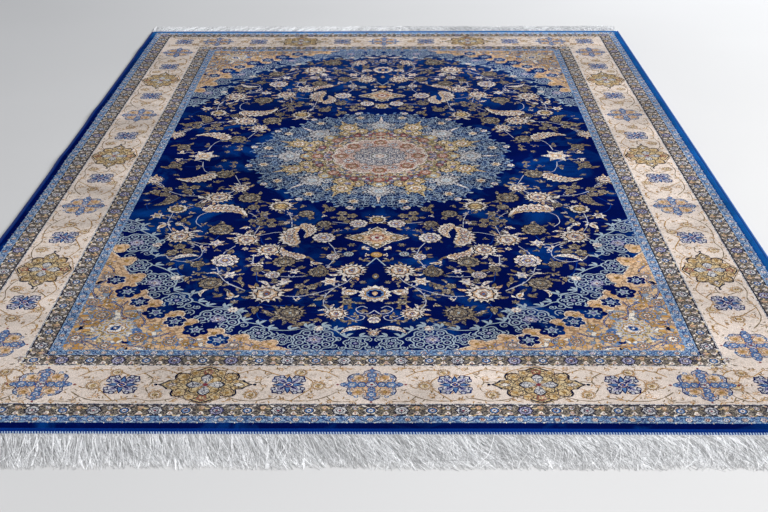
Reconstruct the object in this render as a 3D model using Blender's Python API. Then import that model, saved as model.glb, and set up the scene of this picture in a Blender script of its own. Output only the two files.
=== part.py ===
"""Knotted pile rug, 2 x 3 m, lying flat on a floor, with a loose fringe at both ends.

The origin is the middle of the rug on the floor. X runs across the rug, Y along it
with the near end at -Y, and +Z is up. All sizes are in metres.
"""
import math
import random

import bmesh
import bpy
import numpy as np

# The cloth without its fringe
CLOTH_WIDTH = 2.000
CLOTH_LENGTH = 3.000
PILE_THICKNESS = 0.009
PILE_EDGE_ROUNDING = 0.002

# The overcast binding of the long sides and the stitched heading of the ends
SELVEDGE_WIDTH = 0.008
SELVEDGE_HEIGHT = 0.0085
HEADING_WIDTH = 0.006
HEADING_HEIGHT_AT_PILE = 0.007
HEADING_HEIGHT_AT_FRINGE = 0.004

# The fringe: warp ends held in a narrow strip in front of the heading
STRIP_WIDTH = 0.004
STRIP_HEIGHT = 0.004
LOCKS_PER_END = 150
LOCK_LENGTH = 0.110
LOCK_LENGTH_SPREAD = 0.014
LOCK_ROOT_SHARE = 0.72
LOCK_MIDDLE_WIDTH = 0.0084
LOCK_MIDDLE_HEIGHT = 0.006
LOCK_TIP_WIDTH = 0.0034
LOCK_TIP_HEIGHT = 0.002
LOCK_MIDDLE_AT = 0.5
LOCK_MIDDLE_STRAY = 0.001
LOCK_TIP_STRAY = 0.002

# Separate pieces stay this far apart
GAP = 0.0003

# Where the left long side lifts off the floor: place along Y, lift, half length
EDGE_RIPPLES = (
    {"at": 1.20, "lift": 0.0030, "half": 0.10},
    {"at": 0.42, "lift": 0.0040, "half": 0.13},
    {"at": -0.02, "lift": 0.0035, "half": 0.12},
    {"at": -0.62, "lift": 0.0025, "half": 0.14},
)
RIPPLE_DEPTH = 0.11

# How the fringe leans: place across, lean at the roots and at the tips in degrees
NEAR_LEAN = (
    {"x": -1.00, "root": 0.0, "tip": 0.0},
    {"x": -0.90, "root": 12.0, "tip": 12.0},
    {"x": -0.30, "root": 18.0, "tip": 22.0},
    {"x": 0.05, "root": 26.0, "tip": 24.0},
    {"x": 0.40, "root": 32.0, "tip": 8.0},
    {"x": 0.70, "root": 28.0, "tip": -8.0},
    {"x": 0.88, "root": 14.0, "tip": -6.0},
    {"x": 1.00, "root": 0.0, "tip": 0.0},
)
FAR_LEAN = (
    {"x": -1.00, "root": 0.0, "tip": 0.0},
    {"x": -0.90, "root": 10.0, "tip": 6.0},
    {"x": -0.20, "root": 16.0, "tip": 20.0},
    {"x": 0.35, "root": -8.0, "tip": -14.0},
    {"x": 0.90, "root": 8.0, "tip": 4.0},
    {"x": 1.00, "root": 0.0, "tip": 0.0},
)

PILE_HALF_WIDTH = CLOTH_WIDTH / 2 - SELVEDGE_WIDTH - GAP
PILE_HALF_LENGTH = CLOTH_LENGTH / 2 - HEADING_WIDTH - GAP

FINISHES = {
    "silk_and_wool_pile": {"colour": (0.018, 0.045, 0.21), "roughness": 0.75},
    "overcast_wool_selvedge": {"colour": (0.012, 0.075, 0.33), "roughness": 0.8},
    "stitched_cotton_heading": {"colour": (0.21, 0.38, 0.67), "roughness": 0.85},
    "white_cotton_warp_fringe": {"colour": (0.74, 0.76, 0.80), "roughness": 0.9},
}


def clear_scene():
    for old in list(bpy.data.objects):
        bpy.data.objects.remove(old, do_unlink=True)


def finish(name):
    """The named finish as a Principled material."""
    material = bpy.data.materials.get(name) or bpy.data.materials.new(name)
    material.use_nodes = True
    shader = material.node_tree.nodes["Principled BSDF"]
    shader.inputs["Base Color"].default_value = (*FINISHES[name]["colour"], 1.0)
    shader.inputs["Roughness"].default_value = FINISHES[name]["roughness"]
    shader.inputs["Metallic"].default_value = 0.0
    return material


def add_piece(name, shape, finish_name):
    """Turn a bmesh into a named object with its finish."""
    bmesh.ops.recalc_face_normals(shape, faces=shape.faces)
    mesh = bpy.data.meshes.new(name)
    shape.to_mesh(mesh)
    shape.free()
    mesh.materials.append(finish(finish_name))
    piece = bpy.data.objects.new(name, mesh)
    bpy.context.scene.collection.objects.link(piece)
    return piece


def lift(x, y):
    """Height of the cloth's underside over the floor: ripples along the left side."""
    inward = (x + CLOTH_WIDTH / 2) / RIPPLE_DEPTH
    if inward >= 1.0:
        return 0.0
    fade = 0.5 + 0.5 * math.cos(math.pi * max(inward, 0.0))
    height = 0.0
    for ripple in EDGE_RIPPLES:
        along = (y - ripple["at"]) / ripple["half"]
        if abs(along) < 1.0:
            height += ripple["lift"] * (0.5 + 0.5 * math.cos(math.pi * along))
    return height * fade


def rows_along():
    """Stations along the rug: even ones, with more of them where a ripple lies."""
    rows = set(np.linspace(-PILE_HALF_LENGTH, PILE_HALF_LENGTH, 11).round(4).tolist())
    for ripple in EDGE_RIPPLES:
        for step in (-1.0, -0.5, 0.0, 0.5, 1.0):
            rows.add(round(ripple["at"] + step * ripple["half"], 4))
    rows = sorted(rows)
    kept = rows[:1]
    for row in rows[1:]:
        if row - kept[-1] > 0.02:
            kept.append(row)
    kept[-1] = rows[-1]
    return kept


def loft_along(sections):
    """A closed body through rings of equal point count, capped at both ends."""
    shape = bmesh.new()
    rings = [[shape.verts.new(point) for point in ring] for ring in sections]
    count = len(rings[0])
    for ring, following in zip(rings, rings[1:]):
        for i in range(count):
            j = (i + 1) % count
            shape.faces.new((ring[i], ring[j], following[j], following[i]))
    shape.faces.new(rings[0])
    shape.faces.new(rings[-1])
    return shape


def pile_section(y, inset):
    """Outline of the pile cloth at one place along it, its top edges rounded off."""
    half = PILE_HALF_WIDTH
    soft = PILE_EDGE_ROUNDING
    top = PILE_THICKNESS - inset
    shallow_side = -half + 0.4 * RIPPLE_DEPTH
    ripple_end = -half + RIPPLE_DEPTH
    outline = (
        (-half, 0.0), (shallow_side, 0.0), (ripple_end, 0.0), (half, 0.0),
        (half, top - soft), (half - soft, top),
        (ripple_end, top), (shallow_side, top), (-half + soft, top), (-half, top - soft),
    )
    return [(x, y, z + lift(x, y)) for x, z in outline]


def make_pile():
    """The knotted pile cloth: one flat solid that follows the ripples of its left side."""
    rows = rows_along()
    soft = PILE_EDGE_ROUNDING
    sections = [pile_section(rows[0], soft), pile_section(rows[0] + soft, 0.0)]
    sections += [pile_section(y, 0.0) for y in rows[1:-1]]
    sections += [pile_section(rows[-1] - soft, 0.0), pile_section(rows[-1], soft)]
    return add_piece("pile_rug", loft_along(sections), "silk_and_wool_pile")


def make_selvedge(name, side):
    """The binding overcast along one long side: flat inside, rounded outside."""
    inner = PILE_HALF_WIDTH + GAP
    round_part = (
        (0.35, 0.0), (0.8, 0.12), (1.0, 0.4), (1.0, 0.62), (0.8, 0.9), (0.35, 1.0),
    )
    outline = [(0.0, 0.0)] + list(round_part) + [(0.0, 1.0)]
    sections = []
    for y in rows_along():
        ring = []
        for out, up in outline:
            x = side * (inner + out * SELVEDGE_WIDTH)
            ring.append((x, y, up * SELVEDGE_HEIGHT + lift(x, y)))
        sections.append(ring)
    return add_piece(name, loft_along(sections), "overcast_wool_selvedge")


def make_heading(name, end):
    """The stitched heading across one end, sloping from the pile down to the fringe."""
    inner = end * (PILE_HALF_LENGTH + GAP)
    outer = end * (PILE_HALF_LENGTH + GAP + HEADING_WIDTH)
    half = CLOTH_WIDTH / 2
    sections = []
    for x in (-half, half):
        sections.append([
            (x, inner, 0.0), (x, outer, 0.0),
            (x, outer, HEADING_HEIGHT_AT_FRINGE), (x, inner, HEADING_HEIGHT_AT_PILE),
        ])
    return add_piece(name, loft_along(sections), "stitched_cotton_heading")


def lean_at(table, x):
    """Slopes of the fringe at one place across the rug, at the roots and at the tips."""
    places = [row["x"] for row in table]
    root = np.interp(x, places, [row["root"] for row in table])
    tip = np.interp(x, places, [row["tip"] for row in table])
    return math.tan(math.radians(root)), math.tan(math.radians(tip))


def grow_locks(shape, faces):
    """Extrude each lock by one stretch and give its new outer faces from left to right."""
    grown = bmesh.ops.extrude_discrete_faces(shape, faces=faces)["faces"]
    return sorted(grown, key=lambda face: face.calc_center_median().x)


def set_lock_end(face, centre, y, width, height):
    """Move the four corners of a lock's outer face to a new cross-section."""
    middle_x = sum(vert.co.x for vert in face.verts) / 4
    middle_z = sum(vert.co.z for vert in face.verts) / 4
    for vert in face.verts:
        across = 0.5 if vert.co.x > middle_x else -0.5
        vert.co = (centre + across * width, y, height if vert.co.z > middle_z else 0.0)


def make_fringe(name, end, table, seed):
    """Warp ends in locks that lie on the floor, fused at the roots into one strip."""
    chance = random.Random(seed)
    back = end * (CLOTH_LENGTH / 2 + GAP)
    front = end * (CLOTH_LENGTH / 2 + GAP + STRIP_WIDTH)
    half = CLOTH_WIDTH / 2
    pitch = CLOTH_WIDTH / LOCKS_PER_END
    root_width = pitch * LOCK_ROOT_SHARE

    breaks = [-half]
    centres = []
    for i in range(LOCKS_PER_END):
        centre = -half + (i + 0.5) * pitch
        centres.append(centre)
        breaks += [centre - root_width / 2, centre + root_width / 2]
    breaks.append(half)

    shape = bmesh.new()
    low = [shape.verts.new((x, front, 0.0)) for x in breaks]
    high = [shape.verts.new((x, front, STRIP_HEIGHT)) for x in breaks]
    back_low = [shape.verts.new((x, back, 0.0)) for x in (half, -half)]
    back_high = [shape.verts.new((x, back, STRIP_HEIGHT)) for x in (half, -half)]
    roots = []
    for i in range(len(breaks) - 1):
        face = shape.faces.new((low[i], low[i + 1], high[i + 1], high[i]))
        if i % 2 == 1:
            roots.append(face)
    shape.faces.new(low + back_low)
    shape.faces.new(high + back_high)
    shape.faces.new(back_low + back_high[::-1])
    shape.faces.new((low[-1], back_low[0], back_high[0], high[-1]))
    shape.faces.new((low[0], back_low[1], back_high[1], high[0]))
    bmesh.ops.recalc_face_normals(shape, faces=shape.faces)

    longest = LOCKS_PER_END // 2
    middles = grow_locks(shape, roots)
    lengths = []
    middle_places = []
    for i, face in enumerate(middles):
        length = LOCK_LENGTH - chance.uniform(0.0, LOCK_LENGTH_SPREAD)
        if i == longest:
            length = LOCK_LENGTH
        slope, _ = lean_at(table, centres[i])
        reach = length * LOCK_MIDDLE_AT
        place = centres[i] + slope * reach + chance.uniform(-1, 1) * LOCK_MIDDLE_STRAY
        set_lock_end(face, place, front + end * reach, LOCK_MIDDLE_WIDTH, LOCK_MIDDLE_HEIGHT)
        lengths.append(length)
        middle_places.append(place)
    tips = grow_locks(shape, middles)
    for i, face in enumerate(tips):
        _, slope = lean_at(table, centres[i])
        reach = lengths[i] * (1.0 - LOCK_MIDDLE_AT)
        place = middle_places[i] + slope * reach + chance.uniform(-1, 1) * LOCK_TIP_STRAY
        set_lock_end(face, place, front + end * lengths[i], LOCK_TIP_WIDTH, LOCK_TIP_HEIGHT)
    return add_piece(name, shape, "white_cotton_warp_fringe")


def main():
    clear_scene()
    make_pile()
    make_selvedge("selvedge_left", -1)
    make_selvedge("selvedge_right", 1)
    make_heading("heading_near", -1)
    make_heading("heading_far", 1)
    make_fringe("fringe_near", -1, NEAR_LEAN, 11)
    make_fringe("fringe_far", 1, FAR_LEAN, 12)


main()
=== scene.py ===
"""Looks of a knotted Persian pile rug lying flat: design, binding, heading and fringe.

The design is drawn as outlines of yarn in the rug's own plane, in metres from its middle.
The outlines are woven into flat meshes with one material for each dyed yarn.
"""
import cmath
import math
import random

import bmesh
import bpy
import numpy as np
from mathutils import Matrix, Vector
from mathutils.geometry import delaunay_2d_cdt


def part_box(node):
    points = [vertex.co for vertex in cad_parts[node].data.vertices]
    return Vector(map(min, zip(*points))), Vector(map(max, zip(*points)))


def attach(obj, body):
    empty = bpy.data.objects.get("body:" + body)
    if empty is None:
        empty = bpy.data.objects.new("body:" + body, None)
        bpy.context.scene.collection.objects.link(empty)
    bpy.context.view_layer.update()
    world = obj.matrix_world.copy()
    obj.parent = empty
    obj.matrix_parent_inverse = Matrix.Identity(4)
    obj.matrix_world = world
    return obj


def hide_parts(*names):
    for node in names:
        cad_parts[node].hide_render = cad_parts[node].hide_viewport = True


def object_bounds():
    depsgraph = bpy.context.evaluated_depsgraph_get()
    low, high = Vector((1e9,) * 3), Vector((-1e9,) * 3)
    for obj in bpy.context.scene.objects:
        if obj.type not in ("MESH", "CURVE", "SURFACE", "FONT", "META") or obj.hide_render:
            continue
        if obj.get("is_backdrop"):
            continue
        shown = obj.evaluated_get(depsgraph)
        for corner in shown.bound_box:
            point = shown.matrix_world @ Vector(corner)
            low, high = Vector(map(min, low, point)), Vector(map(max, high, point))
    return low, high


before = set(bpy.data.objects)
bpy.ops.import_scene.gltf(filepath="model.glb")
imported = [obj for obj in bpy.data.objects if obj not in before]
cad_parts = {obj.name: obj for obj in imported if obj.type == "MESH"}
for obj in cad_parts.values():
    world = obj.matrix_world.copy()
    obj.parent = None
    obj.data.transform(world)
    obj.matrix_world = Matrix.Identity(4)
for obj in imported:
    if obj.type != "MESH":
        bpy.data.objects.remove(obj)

CAD_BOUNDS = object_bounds()

bl_info = {
    "name": "Persian Rug",
    "version": (1, 0, 0),
    "blender": (4, 5, 0),
    "location": "3D View > Sidebar > Rug",
    "description": "Weaves a 2 x 3 m medallion rug with bound sides, stitched ends and a fringe",
    "category": "Object",
}

TURN = 2.0 * math.pi
ROOT = "root"
MM = 0.001

# Dyed yarns: sRGB colour, roughness, sheen and the companion that is knotted in among it.
# Silk is smoother and shines more than wool. The companion has its colour, its share of the
# knots and the size of its patches in millimetres. It stands for details of two to four knots.
PLAIN = ("000000", 0.0, 5.0)
YARNS = {
    "navy": ("020f4c", 0.60, 0.06, PLAIN),
    "royal": ("0a3284", 0.60, 0.15, PLAIN),
    "sky": ("7a99bb", 0.65, 0.20, ("b4c2d2", 0.26, 5.0)),
    "denim": ("5c7fab", 0.65, 0.20, PLAIN),
    "mist": ("9dadb8", 0.60, 0.20, PLAIN),
    "silver": ("d0cecd", 0.55, 0.20, ("a2a4ae", 0.24, 5.5)),
    "ivory": ("ddcfc5", 0.70, 0.15, ("cbb9aa", 0.12, 5.0)),
    "cream": ("ebe2d6", 0.55, 0.20, ("bb9880", 0.22, 5.5)),
    "apricot": ("d4b594", 0.65, 0.15, ("c1986e", 0.26, 9.0)),
    "gold": ("d2be96", 0.65, 0.20, ("ac8c5c", 0.26, 6.0)),
    "ochre": ("ab8650", 0.65, 0.15, ("75582f", 0.22, 5.0)),
    "bronze": ("75644c", 0.70, 0.10, ("9a8868", 0.18, 5.0)),
    "rust": ("9c6350", 0.70, 0.15, ("cfae9c", 0.24, 5.0)),
    "rose": ("977468", 0.65, 0.15, ("b59c90", 0.24, 5.5)),
    "wine": ("7a3542", 0.70, 0.10, PLAIN),
    "taupe": ("8f7f68", 0.70, 0.10, ("c2b8a8", 0.24, 5.5)),
    "umber": ("3c3a40", 0.75, 0.10, ("5c5850", 0.24, 4.5)),
    "lilac": ("aaa6bd", 0.60, 0.20, ("6f76a6", 0.22, 5.0)),
    "midnight": ("0c1230", 0.70, 0.05, PLAIN),
    "lace": ("0b1a48", 0.60, 0.10, PLAIN),
    "florets": ("c9b48a", 0.65, 0.15, PLAIN),
    "pale": ("b6b9c4", 0.60, 0.20, PLAIN),
    "scrolls": ("d0ab7c", 0.65, 0.15, PLAIN),
    "pearl": ("45475a", 0.60, 0.15, PLAIN),
}
# Fine drawing inside a colour: the line's colour, the mesh it makes and its width in millimetres
MESHES = {
    "lace": ("94a6b8", 14.0, 1.6),
    "florets": ("2e3048", 12.0, 1.8),
    "scrolls": ("5e6c84", 14.0, 1.5),
    "pearl": ("b9b7ba", 9.0, 1.5),
    "cream": ("4a4a66", 11.0, 1.1),
    "silver": ("42445a", 10.0, 1.5),
    "gold": ("5e4c36", 13.0, 1.4),
    "taupe": ("34323c", 9.0, 1.4),
    "apricot": ("8c7058", 18.0, 2.0),
    "sky": ("35507e", 9.0, 1.5),
    "rose": ("d8ccc6", 10.0, 1.1),
    "rust": ("5c3a34", 9.0, 1.2),
    "lilac": ("34396c", 8.0, 1.2),
    "umber": ("8f867c", 8.0, 1.1),
    "denim": ("3c5c94", 8.0, 1.2),
}
# The colours of the small florets in the medallion and of the scrolls in the corners
FLORETS = {
    "florets": ("c0ab80", "d8cdba", "7f3845", "948ca8", "857b4e", "b09c74", "55658a", "bfb292"),
    "scrolls": ("d2b088", "b88a4a", "d6b88e", "7e94aa", "d8b890", "e8e0d4", "c89c5c", "d6b48c"),
}
YARN_NAMES = list(YARNS)

# Half sizes of the bands' outer edges, across and along, from the outside in
BAND_EDGES = {
    "blue guard": 0.983 + 1.4690j,
    "flower guard": 0.958 + 1.4430j,
    "border": 0.917 + 1.4050j,
    "inner flower guard": 0.761 + 1.2500j,
    "inner blue guard": 0.719 + 1.2120j,
    "field": 0.691 + 1.1870j,
}
# How far a patch's edge may be off its drawing, which saves points
SLACK = 0.0009
# The cloth came off the loom a hundredth narrower than its chart
DRAWN_IN = 0.99
PILE_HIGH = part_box("pile_rug")[1]
PILE_EDGE = complex(PILE_HIGH[0], PILE_HIGH[1])
ENDS = (("near", -1), ("far", 1))
SIDES = (("left", -1), ("right", 1))

# Where the left long side lifts off the floor, as the rug's solids have it
EDGE_RIPPLES = (
    {"at": 1.20, "lift": 0.0030, "half": 0.10},
    {"at": 0.42, "lift": 0.0040, "half": 0.13},
    {"at": -0.02, "lift": 0.0035, "half": 0.12},
    {"at": -0.62, "lift": 0.0025, "half": 0.14},
)
RIPPLE_DEPTH = 0.11
# The pile rounds off over this width at the cloth's edge and comes down by this much
ROUNDING, ROUND_DROP = 0.0035, 0.0042
# Gaps between the even lines along which the pile can bend
BEND_STEP = 0.04


def length(name, description, default, low, high):
    """A length that the panel shows, in metres."""
    return bpy.props.FloatProperty(name=name, description=description, default=default, min=low, max=high,
                                   unit="LENGTH")


class RugSizes(bpy.types.PropertyGroup):
    """Sizes of the pile and its threads."""

    pile_top: length("Pile top", "Height of the pile's surface over the floor", 0.009, 0.005, 0.02)
    foundation_top: length("Foundation", "Thickness of the woven cloth under the pile", 0.0042, 0.002, 0.008)
    waviness: length("Waviness", "How far the laid rug's surface swells and dips", 0.0007, 0.0, 0.003)
    knot_pitch: length("Knot pitch", "Distance between knots, coarse enough to show", 0.0016, 0.0005, 0.005)
    strand_width: length("Strand width", "Thickness of one warp strand", 0.0021, 0.0003, 0.003)
    strands_near: bpy.props.IntProperty(
        name="Near strands", description="Warp strands drawn in the near fringe", default=3700, min=100)
    strands_far: bpy.props.IntProperty(
        name="Far strands", description="Warp strands drawn in the far fringe", default=2300, min=100)


def linear(code):
    """A hex sRGB colour as linear red, green and blue."""
    parts = [int(code[i:i + 2], 16) / 255 for i in (0, 2, 4)]
    return tuple(p / 12.92 if p <= 0.04045 else ((p + 0.055) / 1.055) ** 2.4 for p in parts)


def colour_property(name):
    """A yarn's colour as the panel shows it."""
    return bpy.props.FloatVectorProperty(
        name=name.capitalize(), description=f"Colour of the {name} yarn", subtype="COLOR",
        size=3, min=0.0, max=1.0, default=linear(YARNS[name][0]))


class YarnColours(bpy.types.PropertyGroup):
    """One colour for each dyed yarn of the pile."""

    __annotations__ = {name: colour_property(name) for name in YARNS}


def sizes():
    """The sizes set in the panel."""
    return bpy.context.scene.rug_sizes


def colour(code):
    """A hex sRGB colour as a node takes it."""
    return (*linear(code), 1.0)


def add_node(tree, kind, inputs=None, **settings):
    """Add a node, set its properties, and link or set its inputs by number or name."""
    node = tree.nodes.new(f"ShaderNode{kind}")
    for name, value in settings.items():
        setattr(node, name, value)
    for key, value in (inputs or {}).items():
        if isinstance(value, bpy.types.NodeSocket):
            tree.links.new(value, node.inputs[key])
        else:
            node.inputs[key].default_value = value
    return node


class Spot:
    """A place on the rug with a size, a turn and a hand, for laying motifs."""

    def __init__(self, at=0j, size=1.0, turn=0.0, flip=False):
        self.at = at
        self.scale = cmath.rect(size, turn)
        self.flip = flip

    def __call__(self, point):
        return self.at + self.scale * (point.conjugate() if self.flip else point)

    def inside(self, at=0j, size=1.0, turn=0.0, flip=False):
        """A smaller spot given in this spot's own measure."""
        child = Spot()
        child.at = self(at)
        child.flip = self.flip != flip
        child.scale = self.scale * cmath.rect(size, -turn if self.flip else turn)
        return child


# The chart of the piece in hand: patches of yarn laid over each other. The last one laid shows.
CHART = []


def lay(yarn, outline, spot=Spot()):
    """Lay one patch of yarn on the chart."""
    CHART.append((yarn, without_idle_points([drawn_in(spot(point)) for point in outline])))


def drawn_in(point):
    """A place on the chart as it comes out in the cloth."""
    return complex(point.real * DRAWN_IN, point.imag)


def without_idle_points(outline):
    """The outline without points that stand less than the slack off their neighbours' line."""
    kept = [outline[0]]
    for point, following in zip(outline[1:], outline[2:] + outline[:1]):
        run = following - kept[-1]
        if abs(run) < 1e-9 or abs((run.conjugate() * (point - kept[-1])).imag) / abs(run) > SLACK:
            kept.append(point)
    return kept if len(kept) > 2 else outline


def polar(radius, angle):
    """A place by its distance from the middle and its angle."""
    return cmath.rect(radius, angle)


def disc(radius, count=14, centre=0j):
    """A round patch with this many corners."""
    return [centre + polar(radius, TURN * i / count) for i in range(count)]


def petals(count, radius, depth, steps, stretch, wave):
    """A ring of petals. The wave gives 0 at the clefts and 1 at the tips, depth how far the clefts cut in."""
    outline = []
    for i in range(count * steps):
        angle = TURN * i / (count * steps)
        point = polar(radius * (1 - depth + depth * wave(count * angle / 2)), angle)
        outline.append(complex(point.real * stretch, point.imag))
    return outline


def lobes(count, radius, depth, steps=6, stretch=1.0):
    """A ring of round petals."""
    return petals(count, radius, depth, steps, stretch, lambda angle: abs(math.cos(angle)))


def spikes(count, radius, depth, steps=4, stretch=1.0):
    """A ring of pointed petals."""
    return petals(count, radius, depth, steps, stretch, lambda angle: 1 - abs(math.sin(angle)))


# Where a quarter's grounds start: a little past both middle lines, so that no gap shows there
MIDDLE = -0.1 - 0.1j


def oblong(low, high):
    """A rectangle between two corners."""
    return [low, complex(high.real, low.imag), high, complex(low.real, high.imag)]


def ribbon(line, width, taper=0.0):
    """A band of even or tapering width along a line."""
    last = len(line) - 1
    left, right = [], []
    for i, point in enumerate(line):
        run = line[min(i + 1, last)] - line[max(i - 1, 0)]
        side = run / abs(run) * 1j * width / 2 * (1 - taper * i / last)
        left.append(point + side)
        right.append(point - side)
    return left + right[::-1]


def smooth(points, steps=6):
    """A smooth curve through the points."""
    ends = [2 * points[0] - points[1]] + list(points) + [2 * points[-1] - points[-2]]
    curve = []
    for a, b, c, d in zip(ends, ends[1:], ends[2:], ends[3:]):
        for i in range(steps):
            t = i / steps
            curve.append(0.5 * (2 * b + (c - a) * t + (2 * a - 5 * b + 4 * c - d) * t * t
                                + (3 * b - a - 3 * c + d) * t ** 3))
    return curve + [points[-1]]


def curl(centre, radius, turns, start=0.0, hand=1, steps=10):
    """A vine's curl that winds in round a centre."""
    count = max(4, int(steps * turns))
    return [centre + polar(radius * (1 - 0.75 * i / count), start + hand * TURN * turns * i / count)
            for i in range(count + 1)]


def bent_line(length, bend, count):
    """Steps along a line bent to the left: the share of the way, the place and the way out to its left."""
    for i in range(1, count):
        t = i / count
        slope = complex(1, bend * 4 * (1 - 2 * t))
        yield t, complex(t * length, bend * length * 4 * t * (1 - t)), slope / abs(slope) * 1j


def leaf(length, width, bend=0.0, steps=7, point=1.0):
    """A leaf along +X from the origin, bent to the left."""
    left, right = [], []
    for t, middle, side in bent_line(length, bend, steps):
        half = width / 2 * math.sin(math.pi * t ** point)
        left.append(middle + side * half)
        right.append(middle - side * half)
    return [0j] + left + [complex(length, 0)] + right[::-1]


def feather(length, width, bend, teeth=9):
    """A long bent leaf, broad at its foot, with a toothed back."""
    back, front = [], []
    for i, (t, middle, side) in enumerate(bent_line(length, bend, 2 * teeth), 1):
        half = width / 2 * math.sin(math.pi * t ** 0.6) ** 0.8
        back.append(middle + side * half * (1.3 if i % 2 else 0.86))
        front.append(middle - side * half * (1.12 if i % 3 else 0.84))
    return [0j] + back + [complex(length, 0)] + front[::-1]


def at(across, along):
    """A place on the rug by its millimetres from the middle."""
    return complex(across, along) * MM


def number(word):
    """A number of a table: whole unless it has a point."""
    return float(word) if "." in word else int(word)


def stack(spot, layers):
    """Lay shapes over each other on one spot, each written as its yarn, its kind and its numbers."""
    for layer in layers.split(", "):
        yarn, shape, *numbers = layer.split()
        lay(yarn, SHAPES[shape](*map(number, numbers)), spot)


def table(text):
    """Rows of words and numbers, parted by commas."""
    return [tuple(word if word.isalpha() else number(word) for word in row.split()) for row in text.split(",")]


def runs(text):
    """Vines and edges, each the places that it runs through, across and along in millimetres."""
    return [list(zip(row[::2], row[1::2])) for row in table(text)]


SHAPES = {"lobes": lobes, "spikes": spikes, "disc": disc, "leaf": leaf}

# The yarns of a flower: outline, petals, veins, ring, light ring, heart, eye
DRESSES = {dress: yarns.split() for dress, yarns in {
    "bright": "midnight cream umber apricot cream rust denim",
    "golden": "midnight cream ochre bronze gold ochre cream",
    "subdued": "midnight taupe umber umber taupe bronze mist",
    "silver": "midnight mist taupe taupe silver umber silver",
    "white": "midnight cream lilac cream lilac ochre cream",
    "corner": "denim ochre cream bronze cream rust gold",
    "lotus": "pale gold denim ochre cream navy cream",
    "border": "bronze apricot ochre ivory gold ochre cream",
}.items()}


def ribs(yarn, spot, count, foot, tip, half, start=0.5):
    """Thin pointed ribs round a flower."""
    for i in range(count):
        angle = TURN * (i + start) / count
        lay(yarn, [polar(foot, angle - half), polar(tip, angle), polar(foot, angle + half)], spot)


def rosette(spot, dress, count=11):
    """A round flower seen from above."""
    outline, petal, vein, ring, light, heart, eye = DRESSES[dress]
    stack(spot, f"{outline} lobes {count} 1.05 .15 4, {petal} lobes {count} .93 .17 4")
    ribs(vein, spot, count, 0.5, 0.9, 0.09)
    stack(spot, f"{outline} lobes {count - 3} .62 .14 4, {ring} lobes {count - 3} .55 .16 4, "
          f"{light} lobes 6 .4 .25 4, {heart} disc .22 8, {eye} disc .09 5")


def palmette(spot, dress, count=17):
    """A lotus flower seen from the side, its tip along +X."""
    outline, petal, vein, ring, light, heart, eye = DRESSES[dress]
    for hand in (1, -1):
        lay(petal, leaf(0.8, 0.26, 0.2 * hand), spot.inside(-0.8 + 0.2j * hand, 1.0, 2.2 * hand))
        lay(ring, leaf(0.7, 0.22, -0.2 * hand), spot.inside(-0.55 + 0.6j * hand, 1.0, 1.9 * hand))
    stack(spot, f"{outline} spikes {count} 1.1 .24 3 1.05, {petal} spikes {count} 1.0 .27 3 1.05")
    ribs(vein, spot, count, 0.45, 0.86, 0.06)
    core = spot.inside(0.06 + 0j)
    stack(core, f"{outline} spikes 9 .7 .16 4, {ring} spikes 9 .62 .18 4, {light} lobes 7 .46 .2 4 1.15")
    lay(vein, leaf(0.66, 0.46, 0.0, 6, 0.8), core.inside(-0.32 + 0j))
    lay(heart, leaf(0.54, 0.32, 0.0, 6, 0.8), core.inside(-0.27 + 0j))
    lay(eye, disc(0.1, 6), core)


def star(spot, dress):
    """A small flower with pointed petals."""
    outline, petal, _, ring, light, *_ = DRESSES[dress]
    stack(spot, f"{outline} spikes 6 1.1 .5 4, {petal} spikes 6 .98 .46 4, {ring} disc .36 9, {light} disc .2 7")


def bud(spot, dress):
    """A closed bud along +X on two small leaves."""
    outline, petal, *_, heart, _ = DRESSES[dress]
    lay(outline, leaf(2.0, 1.15, 0, 7, 0.7), spot.inside(-0.9 + 0j))
    lay(petal, leaf(1.8, 0.9, 0, 7, 0.7), spot.inside(-0.8 + 0j))
    lay(heart, leaf(1.0, 0.4, 0, 5, 0.7), spot.inside(-0.5 + 0j))
    for hand in (1, -1):
        lay(petal, leaf(1.0, 0.34, 0.16 * hand, 5), spot.inside(-0.8 + 0j, 1, 1.25 * hand))


def trefoil(spot, dress):
    """Three small blossoms on one stalk."""
    outline, petal, _, ring, light, *_ = DRESSES[dress]
    for angle in (0.0, 2.1, -2.1):
        small = spot.inside(polar(0.55, angle), 0.5, angle)
        stack(small, f"{outline} lobes 5 1.08 .3 4, {petal} lobes 5 .94 .3 4, "
              f"{ring} disc .42 7, {light} disc .2 5")


def crescent(spot, dress, bend=0.26):
    """A curved leaf with a light edge and a row of small florets."""
    outline, petal, _, ring, *_ = DRESSES[dress]
    base = spot.inside(-1 + 0j)
    lay(outline, leaf(2.1, 0.62, bend), base.inside(-0.03 + 0j))
    lay(petal, leaf(2.0, 0.5, bend), base)
    for t in (0.25, 0.42, 0.6):
        lay(ring, lobes(5, 0.13, 0.3, 3), base.inside(complex(2 * t, bend * 8 * t * (1 - t))))


def saz(spot, dress):
    """A long toothed leaf with blossoms set in it."""
    outline, petal, _, ring, light, heart, _ = DRESSES[dress]
    base = spot.inside(-1 + 0j)
    lay(outline, feather(2.12, 0.88, 0.24), base.inside(-0.03 + 0j))
    lay(petal, feather(2.0, 0.75, 0.24), base)
    lay(ring, feather(1.76, 0.52, 0.24, 7), base.inside(0.1 + 0.02j))
    for t in (0.14, 0.28, 0.43, 0.57, 0.7):
        bloom = base.inside(complex(2 * t, 0.24 * 2 * 4 * t * (1 - t)), 0.185 * math.sin(math.pi * t ** 0.7))
        stack(bloom, f"{outline} lobes 5 1.3 .3 4, {light} lobes 5 1.08 .3 4, {heart} disc .42 6")


def sprig(spot, yarn):
    """Two leaves on a vine."""
    lay(yarn, leaf(1.0, 0.36, 0.12), spot.inside(0j, 1, 0.6))
    lay(yarn, leaf(0.8, 0.32, -0.12), spot.inside(0j, 1, -0.7))


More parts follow.
